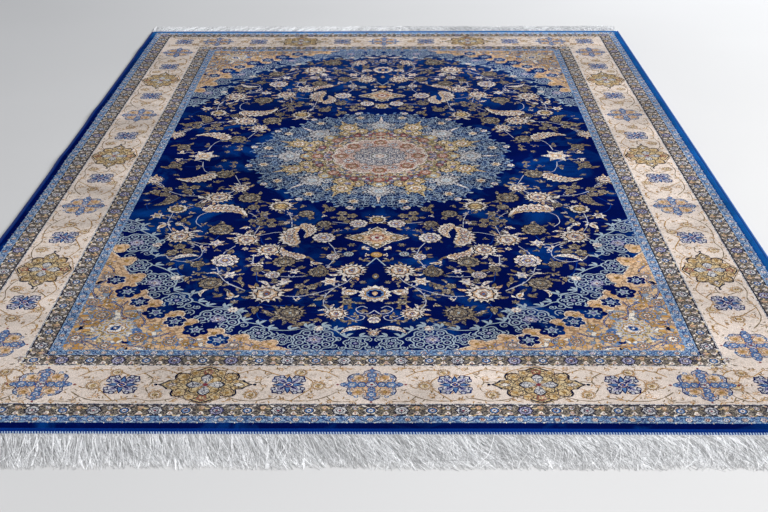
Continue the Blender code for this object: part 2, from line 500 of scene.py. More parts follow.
# The field's flowers in one quarter: kind, dress, across and along from the middle, size and turn
FLOWERS = table("""
    rosette white 142 603 34 0, saz bright 205 587 64 265, palmette bright 348 615 38 110,
    palmette bright 528 595 42 60, rosette subdued 424 552 37 0, star white 424 638 24 90,
    palmette bright 281 678 37 250, saz bright 215 690 45 320, rosette subdued 236 748 32 0,
    bud white 152 757 17 180, rosette white 112 718 20 0, rosette silver 72 702 15 0,
    rosette white 388 741 39 0, trefoil subdued 515 680 38 40, crescent white 492 732 40 200,
    rosette subdued 455 763 21 0, trefoil golden 300 765 18 0, rosette subdued 144 806 29 0,
    palmette bright 62 798 40 230, star white 206 803 17 0, rosette white 258 822 22 0,
    star white 365 822 22 60, crescent white 408 820 18 170, bud subdued 470 846 15 90,
    rosette subdued 406 868 33 0, crescent subdued 340 872 22 130, star white 224 856 20 0,
    star bright 112 857 26 0, palmette bright 262 920 46 80, trefoil subdued 172 893 32 200,
    bud subdued 134 948 16 30, star subdued 66 964 22 0, bud white 60 908 22 180,
    palmette subdued 200 1018 40 200, palmette bright 90 1020 30 130, bud subdued 282 1005 20 90,
    crescent golden 412 918 22 250, bud golden 350 928 20 300, bud subdued 164 1068 20 200,
    star bright 555 0 50 0, bud white 630 36 16 90, rosette subdued 632 83 23 0,
    rosette subdued 468 152 33 0, saz bright 555 166 60 20, palmette bright 675 196 30 150,
    palmette bright 408 262 29 90, palmette bright 462 330 42 200, rosette subdued 372 333 36 0,
    palmette golden 276 392 37 90, rosette golden 567 414 31 0, saz bright 430 442 68 165,
    rosette subdued 200 446 25 0, trefoil subdued 90 460 34 60, rosette subdued 136 414 18 0,
    rosette subdued 352 400 20 0, star subdued 318 446 20 0, trefoil subdued 300 510 32 10,
    trefoil subdued 332 495 26 120, rosette subdued 146 514 22 0, rosette white 52 512 28 0,
    saz bright 202 560 45 100, star golden 615 460 22 0, rosette subdued 508 385 18 0,
    bud subdued 536 490 18 270, trefoil subdued 632 290 38 0, trefoil subdued 560 265 36 90,
    saz subdued 620 350 44 60, bud white 590 530 22 60, rosette subdued 300 790 18 0""")

MAKERS = {"rosette": rosette, "palmette": palmette, "saz": saz, "star": star,
          "bud": bud, "trefoil": trefoil, "crescent": crescent}


def lay_flower(kind, dress, across, along, size, turn):
    """Lay one flower of a table."""
    MAKERS[kind](Spot(at(across, along), size * MM, math.radians(turn)), dress)


def lay_sprays():
    """Small leaves and buds that peep out round each flower, and more between the flowers."""
    chance = random.Random(5)
    centres = [(at(across, along), size * MM) for _, _, across, along, size, _ in FLOWERS]
    for centre, size in centres:
        for i in range(4):
            angle = chance.uniform(0, TURN)
            foot = centre + polar(size * 0.8, angle)
            spot = Spot(foot, chance.uniform(0.018, 0.03), angle + chance.uniform(-0.9, 0.9))
            lay(chance.choice(("taupe", "umber", "bronze")), leaf(1.0, 0.4, chance.uniform(-0.2, 0.2), 5), spot)
    placed = 0
    while placed < 62:
        centre = complex(chance.uniform(0.01, 0.68), chance.uniform(0.01, 1.15))
        taken = any(abs(centre - other) < size + 0.017 for other, size in centres)
        if taken or abs(centre) < 0.44 or not inside_field(centre):
            continue
        placed += 1
        centres.append((centre, 0.012))
        spot = Spot(centre, chance.uniform(0.009, 0.013), chance.uniform(0, TURN))
        dress = chance.choice(("subdued",) * 4 + ("golden",))
        kind = placed % 4
        if kind == 0:
            star(spot, dress)
        elif kind == 1:
            bud(spot, dress)
        else:
            for i in range(3):
                lay(DRESSES[dress][1], leaf(1.7, 0.66, 0.18, 5), spot.inside(0j, 1, (i - 1) * 0.85 * kind / 2))
            lay(DRESSES[dress][5], disc(0.34, 6), spot)


def inside_field(place):
    """Whether a place lies inside the band of lace round the field."""
    return (place.real / 0.66) ** 2.6 + (place.imag / 1.12) ** 2.6 < 0.86


def lay_flowers():
    """The field's large and small flowers."""
    for flower in FLOWERS:
        lay_flower(*flower)


# Vines of the field, the dim ones that lie behind them, and sprigs by place and turn
VINES = runs("""
    255 430 238 480 232 530 235 580 262 640, 235 576 272 570 316 590, 372 655 394 690 398 712, 402 782 392
    822 370 862 345 886 318 905, 575 442 578 490 570 535 556 565, 498 632 468 656 453 695 460 730 492 748
    530 735 545 712, 486 630 460 645 440 642, 128 634 112 668 106 700, 108 736 118 765 128 788, 318 706 315
    752 300 788 276 812, 240 830 210 834 178 828, 56 828 72 862 100 892 120 932 122 975 108 1004, 218 934
    180 935 140 918 102 892, 690 190 655 235 610 288 560 318 504 322, 540 300 560 270 600 262, 376 430 348
    452 328 492 322 535 330 580, 480 535 500 505 498 462 478 436, 124 502 96 509 78 512, 424 285 440 300 446
    312, 505 350 520 380 545 400, 555 48 585 30 618 34, 500 150 530 130 545 90 550 50, 436 160 420 200 410
    235, 70 1030 45 1052 28 1050 22 1035 34 1028, 0 1005 14 1022 34 1018 44 998 30 984 16 994, 660 215 640
    240 632 260, 172 552 190 570 196 600""")
DIM_VINES = runs("""
    424 590 440 640 452 700 456 742, 632 330 660 380 640 430 590 452, 146 536 150 580 100 560 60 540, 236
    716 260 650 300 640 312 600, 300 808 290 860 250 870, 200 978 240 985 275 975 270 1040 232 1060, 468 120
    500 90 540 95 600 90, 372 370 350 385 340 430 300 480, 470 845 500 800 515 740""")
SPRIGS = table("""
    238 500 60, 246 455 200, 232 548 130, 578 500 140, 572 470 300, 453 690 210, 395 810 200, 372 858 100,
    118 928 330, 122 960 200, 90 880 320, 190 934 90, 610 288 20, 655 235 200, 326 500 350, 315 750 30,
    210 833 270, 106 690 150, 480 655 20, 540 318 290, 118 770 30, 402 790 330""")


def path(points, steps=5):
    """A smooth line through places given in millimetres."""
    return smooth([at(*point) for point in points], steps)


def lay_vines():
    """Vines of the field with their sprigs, over the dim ones."""
    for points in DIM_VINES:
        lay("royal", ribbon(path(points), 0.0024))
    for points in VINES:
        lay("pale", ribbon(path(points), 0.0022))
    for across, along, turn in SPRIGS:
        sprig(Spot(at(across, along), 0.015, math.radians(turn)), "pale")


def cross_pendant(spot):
    """The lobed cross under the medallion's finial."""
    for yarn, grow in (("midnight", 1.05), ("cream", 0.99), ("taupe", 0.92)):
        for turn, reach, width in ((0, 1.0, 0.62), (math.pi, 1.0, 0.62), (math.pi / 2, 0.8, 0.7),
                                   (-math.pi / 2, 0.8, 0.7)):
            lay(yarn, leaf(reach * grow, width * grow, 0, 9, 0.7), spot.inside(0j, 1, turn))
        lay(yarn, lobes(8, 0.56 * grow, 0.16), spot)
    for turn in (0, 1, 2, 3):
        arm = spot.inside(0j, 1, turn * math.pi / 2)
        lay("apricot", leaf(0.78 if turn % 2 == 0 else 0.64, 0.42, 0, 7, 0.7), arm)
        lay("bronze", lobes(7, 0.15, 0.25, 4), arm.inside(0.52 + 0j))
        lay("cream", disc(0.07, 8, 0.52 + 0j), arm)
        for hand in (1, -1):
            lay("cream", ribbon(curl(0.36 + 0.2j * hand, 0.1, 1.1, 0, hand), 0.035), arm)
    stack(spot, "rust lobes 8 .3 .25, cream lobes 8 .2 .25, wine disc .08 8")


def lay_axis():
    """What stands on the rug's long middle line, from the medallion out to the end."""
    palmette(Spot(at(0, 484), 0.028, math.pi / 2), "golden", 12)
    cross_pendant(Spot(at(0, 602), 0.088))
    for along, size, layer in ((707, 0.017, "midnight disc 1.06 16"), (706, 0.0155, "ochre disc 1.0 16"),
                               (704, 0.0155, "apricot disc .5 10")):
        stack(Spot(at(0, along), size), layer)
    for hand in (1, -1):
        lay("mist", ribbon(path(((0, 724), (8 * hand, 740), (24 * hand, 770))), 0.0035))
    lay("bronze", leaf(0.034, 0.018, 0, 7, 0.9), Spot(at(0, 812), 1, math.pi / 2))
    lay("cream", leaf(0.016, 0.008, 0, 5, 0.9), Spot(at(0, 820), 1, math.pi / 2))
    big = Spot(at(0, 921), 0.042, math.pi / 2)
    stack(big, "midnight spikes 14 1.06 .2 4 1.08, cream spikes 14 1.0 .2 4 1.08, ochre lobes 10 .66 .12, "
          "denim lobes 10 .56 .12, navy lobes 8 .46 .2")
    lay("apricot", leaf(0.6, 0.34, 0, 6, 0.8), big.inside(-0.3 + 0j))
    for hand in (1, -1):
        crescent(Spot(at(62 * hand, 912), 0.021, math.radians(180 if hand > 0 else 0), hand > 0), "bright")
        low_leaf = Spot(at(44 * hand, 1103), 0.034, math.radians(20 if hand > 0 else 160), hand < 0)
        crescent(low_leaf, "white", -0.22)
    rosette(Spot(at(0, 1051), 0.017), "white", 7)
    palmette(Spot(at(0, 1111), 0.014, math.pi / 2), "bright", 10)


# The edge of the gold corner and the edge of the lace band round it, from the side to the end
SPANDREL = runs("""
    700 665 690 690 662 726 640 780 606 842 574 905 538 948 512 978 480 1010 446 1040 408 1080 350 1112 305
    1132 262 1146 220 1168 178 1190""")[0]
LACE_EDGE = runs("""
    700 478 664 500 636 528 640 556 600 590 576 632 590 690 566 720 590 752 560 770 520 800 490 844 488 905
    440 925 455 950 420 965 395 985 350 990 318 1012 300 1056 262 1070 240 1092 190 1098 150 1085 118 1080
    84 1100 60 1130 30 1130 0 1124 -40 1124""")[0]
# Round figures of the lace: across, along, half size, and the way the tip points in degrees
ROUNDELS = table("""
    636 636 56 168, 545 867 54 210, 363 1049 54 238, 133 1141 50 262""")
SMALL_ROUNDELS = table("""
    668 540 30, 604 772 34, 474 956 38, 262 1112 32, 40 1158 28, 205 1140 24, 560 960 14""")
# Curls of the lace: across, along, half size and hand
LACE_CURLS = table("""
    690 505 16 1, 640 548 12 -1, 688 600 18 1, 596 700 18 -1, 640 716 16 1, 620 742 12 -1, 574 806 16 1,
    610 826 16 -1, 530 930 15 1, 505 915 14 -1, 520 968 12 1, 442 985 15 -1, 436 1015 15 1, 410 1040 14 -1,
    420 990 10 1, 330 1098 15 1, 300 1075 14 -1, 296 1110 12 1, 228 1120 14 -1, 235 1150 12 1,
    180 1170 14 -1, 88 1168 14 1, 80 1140 10 -1, 12 1140 10 1, 10 1176 12 -1, 68 1178 10 1, 380 1095 12 -1""")
# Lobes on the corner's edge, and windows cut in its gold ground: across, along and half size
CORNER_LOBES = table("""
    674 668 20, 640 744 20, 598 838 20, 575 925 20, 530 978 20, 468 1032 20, 430 1070 20, 362 1112 19,
    300 1136 17, 232 1160 16""")
CUTOUTS = table("""
    644 851 25, 562 965 25, 461 1059 27, 349 1143 27""")
BLUE_CUTOUTS = table("""
    601 913 30, 513 1017 30, 406 1098 30""")


def curl_lace(across, along, size, hand):
    """A curl of the lace round its dot."""
    lay("mist", ribbon(curl(at(across, along), size * MM, 1.25, hand + along * 0.1, hand, 9), 0.0029, 0.3))
    lay("mist", disc(0.0026, 6, at(across, along)))


def roundel(spot):
    """A filigree roundel of small loops round a lilac flower."""
    stack(spot, "mist lobes 9 1.05 .13, navy lobes 9 .97 .13")
    for i in range(9):
        angle = TURN * i / 9
        lay("mist", disc(0.2, 12, polar(0.7, angle)), spot)
        lay("navy", disc(0.135, 10, polar(0.7, angle)), spot)
        lay("lilac", disc(0.05, 6, polar(0.7, angle)), spot)
    stack(spot, "mist lobes 9 .5 .2 4, navy lobes 9 .42 .2 4, lilac lobes 6 .36 .3, "
          "silver lobes 6 .2 .3 4, wine disc .06 6")


def small_roundel(spot):
    """A small roundel of curls round a lilac dot."""
    stack(spot, "mist lobes 6 1.05 .2, navy lobes 6 .92 .2")
    for i in range(6):
        angle = TURN * i / 6
        lay("mist", ribbon(curl(polar(0.5, angle), 0.26, 1.2, angle, 1, 8), 0.1), spot)
    lay("lilac", disc(0.16, 8), spot)


def blossom(spot, edge, ground, core, heart):
    """A blossom set in a lobed window of the corner's gold ground."""
    stack(spot, f"{edge} lobes 6 1.1 .26, {ground} lobes 6 1.0 .3, {core} spikes 5 .6 .5 4")
    for i in range(5):
        angle = TURN * (i + 0.5) / 5
        lay(core, leaf(0.24, 0.13, 0, 4), spot.inside(polar(0.52, angle), 1, angle))
    stack(spot, f"{ground} lobes 5 .27 .3 3, {heart} lobes 5 .2 .3 3")


def lay_corner():
    """The gold corner and the filigree band between it and the field."""
    inner = path(SPANDREL, 3)
    outer = path(LACE_EDGE, 3)
    corner = at(720, 1210)
    for i, (across, along) in enumerate(LACE_EDGE[1:-1]):
        for turn in (3.6, 4.6):
            lay("mist", leaf(0.022, 0.008, 0.2, 5), Spot(at(across, along), 1, turn + 0.5 * math.sin(i * 2.1)))
    lay("mist", outer + [at(-40, 1210), corner, at(720, 478)])
    lay("navy", path([(x + 2.6, y + 2.6) for x, y in LACE_EDGE], 3) + [at(-40, 1210), corner, at(720, 481)])
    for place in LACE_CURLS:
        curl_lace(*place)
    for across, along, size in SMALL_ROUNDELS:
        small_roundel(Spot(at(across, along), size * MM, along))
    for across, along, size, tip in ROUNDELS:
        spot = Spot(at(across, along), size * MM, math.radians(tip))
        roundel(spot)
        for hand in (1, -1):
            lay("mist", ribbon(curl(1.05 + 0.34j * hand, 0.24, 1.1, -1.2 * hand, hand, 9), 0.06), spot)
        bud(spot.inside(1.06 + 0j, 0.2), "white")
        lay("cream", lobes(6, 0.24, 0.2, 4), spot.inside(1.02 + 0j))
    # Each lobe points out of the corner, to the middle of the field
    rim = [Spot(at(across, along), 1.35 * size * MM, 3.9) for across, along, size in CORNER_LOBES]
    lay("cream", path([(x - 2.2, y - 2.2) for x, y in SPANDREL], 3) + [corner])
    for spot in rim:
        stack(spot, "midnight lobes 3 1.16 .3, cream lobes 3 1.08 .3")
    lay("apricot", inner + [corner])
    for spot in rim:
        stack(spot, "apricot lobes 3 .98 .3, ochre lobes 3 .3 .3")
    lay("scrolls", path([(x + 44, y + 44) for x, y in SPANDREL], 2) + [corner])
    for i, (across, along) in enumerate(SPANDREL[1:-1]):
        lay("apricot" if i % 2 else "scrolls", lobes(3, 0.024, 0.3), Spot(at(across + 50, along + 44), 1, i))
    lay_corner_flowers()
    for across, along, size in BLUE_CUTOUTS:
        spot = Spot(at(across, along), size * MM, along)
        blossom(spot, "cream", "navy", "mist", "lilac")
        lay("navy", leaf(1.5, 1.1, 0, 6, 0.8), Spot(at(across, along), size * MM, 3.8).inside(0.5 + 0j))
        blossom(spot, "navy", "navy", "mist", "lilac")
    for across, along, size in CUTOUTS:
        blossom(Spot(at(across, along), size * MM, along), "cream", "navy", "mist", "lilac")


CORNER_VINES = runs("""
    690 760 660 800 668 850 690 900 668 960 690 1010, 690 1060 650 1075 620 1040 636 1000 670 985, 640 905
    640 950 600 990 590 1030 560 1050, 560 1010 530 1060 540 1100 500 1130 460 1110, 690 1120 650 1150 600
    1175 540 1170 500 1180, 470 1130 440 1160 400 1170 360 1180 310 1176, 300 1150 270 1170 230 1182, 640
    1110 660 1140 640 1170, 590 960 610 1000 650 1010, 420 1130 400 1150 420 1180""")
CORNER_FLOWERS = table("""
    palmette lotus 594 1092 46 225, rosette corner 636 1030 24 0, rosette corner 532 1134 25 0,
    rosette corner 674 965 20 0, palmette corner 672 1136 24 90, star corner 562 1030 16 0,
    star corner 500 1085 18 0, rosette corner 456 1150 20 0, palmette corner 668 830 18 90,
    star corner 640 960 16 0, bud corner 610 1000 12 45, rosette corner 660 900 16 0,
    star corner 420 1160 16 0, rosette corner 600 1168 18 0, palmette corner 310 1165 18 0,
    star corner 260 1172 14 0, star corner 680 760 14 0, rosette corner 690 1060 16 0,
    bud corner 560 1172 12 0, star corner 500 1170 14 0, star corner 690 1010 14 0,
    bud corner 540 1080 12 100, star corner 640 1070 12 0""")


def lay_corner_flowers():
    """Leaves, vines and flowers on the corner's gold ground."""
    chance = random.Random(8)
    for i in range(150):
        across, along = chance.uniform(260, 690), chance.uniform(700, 1184)
        if across / 700 + along / 1200 < 1.68:
            continue
        spot = Spot(at(across, along), chance.uniform(0.012, 0.02), chance.uniform(0, TURN))
        yarn = ("ochre", "denim", "midnight", "mist", "rust", "navy")[i % 6]
        lay("midnight", leaf(1.1, 0.6, 0.2, 5), spot.inside(-0.05 + 0j))
        lay(yarn, leaf(1, 0.42, 0.2, 5), spot)
        lay("cream" if i % 3 == 0 else "gold" if i % 3 == 1 else yarn, leaf(0.7, 0.3, -0.2, 5),
            spot.inside(0j, 1, 1.9))
    for points in CORNER_VINES:
        lay("midnight", ribbon(path(points), 0.0052))
        lay("lilac", ribbon(path(points), 0.0026))
    for kind, dress, across, along, size, turn in CORNER_FLOWERS:
        for i in range(3):
            spot = Spot(at(across, along), size * MM, TURN * i / 3 + along)
            lay("denim" if i else "bronze", leaf(0.7, 0.3, 0.2, 5), spot.inside(0.8 + 0j))
        lay_flower(kind, dress, across, along, size, turn)


MEDALLION_RADIUS = 0.416
SECTORS = 16


def lay_medallion():
    """The scalloped medallion: a filigree ring round a crown of gold and silver palmettes."""
    sector = TURN / SECTORS
    whole = Spot(0j, 1.0, sector / 2)
    for i in range(SECTORS * 7):
        angle = TURN * i / (SECTORS * 7)
        depth = 0.08 * (1 - abs(math.cos(SECTORS * (angle - sector / 2) / 2)))
        edge = Spot(polar(MEDALLION_RADIUS * (1 - depth) - 0.008, angle), 1, angle + 0.7 * math.sin(i * 2.4))
        lay("mist" if i % 2 else "denim", leaf(0.02, 0.009, 0.2, 5), edge)
    lay("lace", lobes(SECTORS, MEDALLION_RADIUS - 0.004, 0.08), whole)
    for i in range(8):
        lay("navy", disc(0.03, 14, polar(MEDALLION_RADIUS + 0.014, i * TURN / 8)))
    for i in range(SECTORS):
        lay_filigree((i + 0.5) * sector, sector)
    for i in range(SECTORS):
        for offset, radius, size in ((0.5, 0.292, 0.013), (0.3, 0.262, 0.011), (0.7, 0.262, 0.011),
                                     (0.25, 0.305, 0.009), (0.75, 0.305, 0.009)):
            spot = polar(radius, (i + offset) * sector)
            lay("mist", ribbon(curl(spot, size, 1.3, i + offset, 1, 9), 0.0026, 0.3))
    lay("florets", lobes(SECTORS, 0.25, 0.12), Spot())
    for i in range(8):
        lay_silver_crown(i * TURN / 8)
        lay_gold_crown((i + 0.5) * TURN / 8)
    lay_medallion_heart()


def lay_filigree(angle, sector):
    """One scallop of the medallion's blue filigree, with its star flower and white bud."""
    for radius, size in ((0.33, 0.011), (0.352, 0.009), (0.374, 0.011), (0.395, 0.009)):
        for step in (0.2, 0.5, 0.8):
            for hand in (1, -1):
                centre = polar(radius, angle + hand * step * sector / 2)
                near_edge = radius > MEDALLION_RADIUS - 0.016 - 0.028 * step ** 2
                if abs(centre - polar(0.366, angle)) < 0.02 or near_edge:
                    continue
                start = angle + hand * (1.0 + 9.0 * radius)
                yarn = "mist" if step == 0.5 else "denim"
                lay(yarn, ribbon(curl(centre, size, 1.3, start, hand, 8), 0.0019, 0.2))
    flower = Spot(polar(0.366, angle), 0.018, angle)
    stack(flower, "midnight spikes 6 1.2 .4 3, cream spikes 6 1.0 .4 3, gold disc .5 7, rust disc .2 5")
    bud_spot = Spot(polar(MEDALLION_RADIUS - 0.004, angle), 0.0125, angle)
    stack(bud_spot, "midnight disc 1.15 9, cream lobes 5 1.0 .2 3, lilac disc .4 6")


def lay_gold_crown(angle):
    """A gold palmette of the crown with its side lobes and red heart."""
    lay("gold", leaf(0.07, 0.02, 0.0, 6, 0.6), Spot(polar(0.285, angle), 1, angle))
    for hand in (1, -1):
        side = Spot(polar(0.236, angle + hand * 0.12), 0.025, angle + hand * 0.6)
        stack(side, "midnight spikes 9 1.16 .24 4, gold spikes 9 1.02 .26 4, bronze lobes 5 .5 .3 4, "
              "cream lobes 5 .36 .3 4")
        lay("silver", ribbon(curl(polar(0.3, angle + hand * 0.15), 0.012, 1.2, angle, hand, 9), 0.0032))
        tip = Spot(polar(0.3, angle + hand * 0.06), 1, angle + hand * 0.8)
        lay("gold", leaf(0.03, 0.011, 0.2 * hand, 5), tip)
    column = Spot(polar(0.248, angle), 0.028, angle)
    stack(column, "midnight spikes 11 1.12 .22 4, gold spikes 11 1.0 .24 4, lilac lobes 5 .5 .3 4")
    body = Spot(polar(0.284, angle), 0.036, angle)
    stack(body, "midnight spikes 13 1.08 .2 4, gold spikes 13 1.0 .22 4")
    ribs("bronze", body, 11, 0.5, 0.86, 0.07, 0)
    stack(body, "bronze lobes 7 .62 .22 4, cream lobes 7 .54 .22 4, ochre lobes 5 .32 .3 4, cream disc .13 6")
    heart = Spot(polar(0.2, angle), 0.018, angle)
    stack(heart, "umber spikes 7 1.0 .28 4, wine spikes 7 .84 .34 4, rose disc .42 6")


def lay_silver_crown(angle):
    """A silver palmette of the crown between two white scrolls."""
    lay("cream", leaf(0.075, 0.014, 0.0, 6, 0.6), Spot(polar(0.3, angle), 1, angle))
    for hand in (1, -1):
        lay("cream", ribbon(curl(polar(0.262, angle + hand * 0.15), 0.017, 1.1, angle + 2, hand, 9), 0.0036))
        wing = Spot(polar(0.284, angle + hand * 0.07), 0.03, angle + hand * 1.0)
        stack(wing, f"taupe leaf 1.1 .6 {0.15 * hand} 6, silver leaf .95 .42 {0.15 * hand} 6")
    body = Spot(polar(0.284, angle), 0.038, angle)
    stack(body, "midnight spikes 15 1.08 .18 3 1.1, silver spikes 15 1.0 .2 3 1.1")
    ribs("taupe", body, 13, 0.5, 0.9, 0.06, 0)
    stack(body, "taupe lobes 8 .62 .18 4, silver lobes 8 .54 .18 4, mist lobes 6 .32 .3 4, cream disc .14 6")
    foot = Spot(polar(0.232, angle), 0.022, angle)
    stack(foot, "bronze spikes 8 1.1 .22 4, gold spikes 8 .98 .24 4, mist disc .45 8, cream disc .2 6")
    spot = Spot(polar(0.197, angle), 0.021, angle)
    stack(spot, "umber lobes 6 1.1 .2 4, rust lobes 6 .94 .24 4, rose lobes 5 .5 .24 4")


def lay_medallion_heart():
    """The rings inside the crown, out of the middle: lace, rust patches, white curls."""
    sector = TURN / SECTORS
    plain = Spot()
    stack(plain, f"cream lobes {SECTORS} .178 .1, florets lobes {SECTORS} .175 .1")
    for i in range(SECTORS):
        angle = (i + 0.5) * sector
        bloom = Spot(polar(0.163, angle), 0.013, angle)
        lay("umber", lobes(5, 1.1, 0.25, 4), bloom)
        lay("apricot" if i % 2 else "rose", lobes(5, 0.95, 0.25, 4), bloom)
        lay("wine", disc(0.3, 5), bloom)
    stack(plain, f"cream lobes {SECTORS} .152 .08, rose lobes {SECTORS} .148 .08")
    for i in range(SECTORS):
        for hand in (1, -1):
            centre = polar(0.141, (i + 0.5) * sector + hand * 0.1)
            lay("cream", ribbon(curl(centre, 0.013, 1.2, centre.real * 30, hand, 9), 0.003))
    for i in range(8):
        angle = i * TURN / 8
        patch = Spot(polar(0.12, angle), 0.027, angle)
        stack(patch, "cream spikes 9 1.08 .2 4, rust spikes 9 .98 .22 4, bronze lobes 6 .6 .24 4, "
              "rose lobes 6 .4 .24 4")
        small = Spot(polar(0.106, angle + TURN / 16), 0.018, angle)
        stack(small, "umber spikes 7 1.1 .24 4, silver spikes 7 .98 .26 4, rust disc .36 7")
    stack(plain, f"umber lobes {SECTORS} .086 .1, pearl lobes {SECTORS} .083 .1")
    for i in range(SECTORS):
        angle = i * sector
        for radius, size in ((0.066, 0.0095), (0.046, 0.0075)):
            lay("cream", ribbon(curl(polar(radius, angle), size, 1.3, angle, 1 if i % 2 else -1, 8), 0.0024))
    stack(plain, f"silver lobes {SECTORS} .034 .12 4, umber disc .029 20, silver lobes 8 .026 .16 4, "
          "rose lobes 8 .016 .16 4, cream disc .008 8")


def lay_band(name, ground, line, width):
    """A band's ground inside a thin line, on the quarter of the rug."""
    edge = BAND_EDGES[name]
    lay(line, oblong(MIDDLE, edge))
    lay(ground, oblong(MIDDLE, edge - complex(width, width)))


def flower_guard_pair(spot, step, odd):
    """One step of a flower guard: a rosette and the light arches beside it."""
    for side in (1, -1):
        arch = spot.inside(complex(step / 2, 0.0165 * side), 1, -math.pi / 2 * side)
        lay("cream" if side > 0 else "apricot" if odd else "silver", leaf(0.018, 0.0145, 0, 6, 0.5), arch)
        lay("rose", leaf(0.01, 0.006, 0, 5, 0.6), arch.inside(0.002 + 0j))
        for hand in (1, -1):
            wisp = spot.inside(complex(step / 2 + hand * 0.004, 0.0125 * side), 1, math.pi / 2 - hand * 1.2)
            lay("taupe" if hand > 0 else "gold", leaf(0.015, 0.005, 0.2 * hand, 5), wisp)
    lay("bronze", leaf(0.016, 0.006, 0.0, 5), spot.inside(complex(step / 2 - 0.008, 0)))
    for side in (1, -1):
        for hand in (1, -1):
            turn = math.pi / 2 - hand * 0.9 if side > 0 else -math.pi / 2 + hand * 0.9
            lay("cream", leaf(0.012, 0.006, 0.1, 5), spot.inside(complex(0.008 * hand, 0.013 * side), 1, turn))
    if odd:
        lay("midnight", lobes(8, 0.0168, 0.18, 4), spot)
        lay("silver" if int(abs(spot.at) * 40) % 2 else "lilac", lobes(8, 0.0148, 0.18, 4), spot)
        stack(spot, "midnight lobes 8 .0085 .15 4, silver lobes 8 .007 .2 4, wine disc .003 6")
    else:
        stack(spot, "cream lobes 6 .0142 .3 4, midnight disc .0105 12, denim disc .0085 10, "
              "cream disc .0052 8, midnight disc .0024 6")


def flower_guard(band, reach, count):
    """A row of rosettes along a dark guard, from a middle line out to the corner."""
    step = reach / count
    for i in range(count + 1):
        flower_guard_pair(band.inside(complex(i * step, 0)), step, i % 2 == 1)


# The leaves of one step of a blue guard: share of the step, side of the vine and yarn
GUARD_LEAVES = ((0.3, 1, "cream"), (0.42, -1, "royal"), (0.58, 1, "ivory"), (0.7, -1, "navy"),
                (0.5, 1, "mist"), (0.36, -1, "cream"), (0.64, 1, "royal"))


def blue_guard(band, reach, count):
    """Small rosettes on the light blue guard, with leaves on a waving vine."""
    step = reach / count
    hearts = ("rose", "lilac", "rust", "denim")
    for i in range(count + 1):
        spot = band.inside(complex(i * step, 0))
        wave = [complex(step * t / 6, 0.0062 * math.sin(TURN * t / 6)) for t in range(7)]
        lay("navy", ribbon(wave, 0.0016), spot)
        for t, side, yarn in GUARD_LEAVES:
            fleck = spot.inside(complex(step * t, 0.0062 * side), 0.0085, side * (0.6 + 4 * t))
            lay(yarn, leaf(1.0, 0.42, 0.1, 5), fleck)
        lay("midnight", lobes(6, 0.0092, 0.25, 4), spot)
        lay("cream" if i % 2 else "silver", lobes(6, 0.0078, 0.25, 4), spot)
        lay(hearts[i % 4], lobes(6, 0.0048, 0.2, 4), spot)
        lay("cream", disc(0.0018, 5), spot)


def four_ways(quadrant):
    """A closed outline from its first quadrant, given from the X axis round to the Y axis."""
    first = smooth([at(*point) for point in quadrant], 3)
    second = [complex(-p.real, p.imag) for p in reversed(first)][1:]
    half = first + second
    return half + [p.conjugate() for p in reversed(half)][1:-1]


# One quarter of the edges of the border's two large figures, in millimetres from their middles
CARTOUCHE = runs("""
    101 0 88 8 80 18 67 19 70 33 64 45 50 47 38 44 31 37 33 50 22 60 9 66 0 71""")[0]
CROSS = runs("""
    67 0 60 8 50 12 53 26 46 39 32 44 19 41 17 52 8 57 0 63""")[0]


def gold_cartouche(spot):
    """The border's gold cartouche: four pointed arms round a silver four-petalled flower."""
    for yarn, grow in (("midnight", 1.0), ("gold", 0.945), ("umber", 0.87), ("gold", 0.83)):
        lay(yarn, four_ways(CARTOUCHE), spot.inside(0j, grow))
    for side in (1, -1):
        lay("midnight", disc(0.0042, 8, complex(0.104 * side, 0)), spot)
        end = spot.inside(0j, 1, 0 if side > 0 else math.pi)
        for yarn, grow in (("umber", 1.0), ("gold", 0.88), ("umber", 0.55), ("cream", 0.42)):
            lay(yarn, leaf(0.05 * grow, 0.03 * grow, 0, 7), end.inside(complex(0.07 - 0.025 * grow, 0)))
        up = spot.inside(0j, 1, math.pi / 2 * side)
        for yarn, grow in (("umber", 1.1), ("rust", 0.95), ("gold", 0.5)):
            lay(yarn, lobes(5, 0.0125 * grow, 0.3, 4), up.inside(0.05 + 0j))
        for hand in (1, -1):
            for across, along, size in ((0.05, 0.03, 0.0135), (0.027, 0.046, 0.011), (0.064, 0.012, 0.008)):
                lobe = spot.inside(complex(across * side, along * hand), size)
                for yarn, grow in (("midnight", 1.2), ("apricot", 1.04), ("gold", 0.9), ("ochre", 0.4)):
                    lay(yarn, lobes(5, grow, 0.26, 4), lobe)
            scroll = curl(complex(0.034 * side, 0.018 * hand), 0.009, 1.1, 1.0, side * hand, 9)
            lay("umber", ribbon(scroll, 0.0024), spot)
    stack(spot, "midnight lobes 8 .042 .2 4, gold lobes 8 .0395 .2 4")
    for turn in range(4):
        petal = spot.inside(0j, 1, turn * math.pi / 2)
        stack(petal, "midnight leaf .042 .027 0 8 1.5, silver leaf .040 .023 0 8 1.5")
        lay("taupe", leaf(0.018, 0.003, 0, 4), petal.inside(0.006 + 0j))
        lay("wine", leaf(0.02, 0.003, 0, 4), petal.inside(0j, 1, 0.79))
    lay("wine", lobes(4, 0.0065, 0.4, 4), spot)


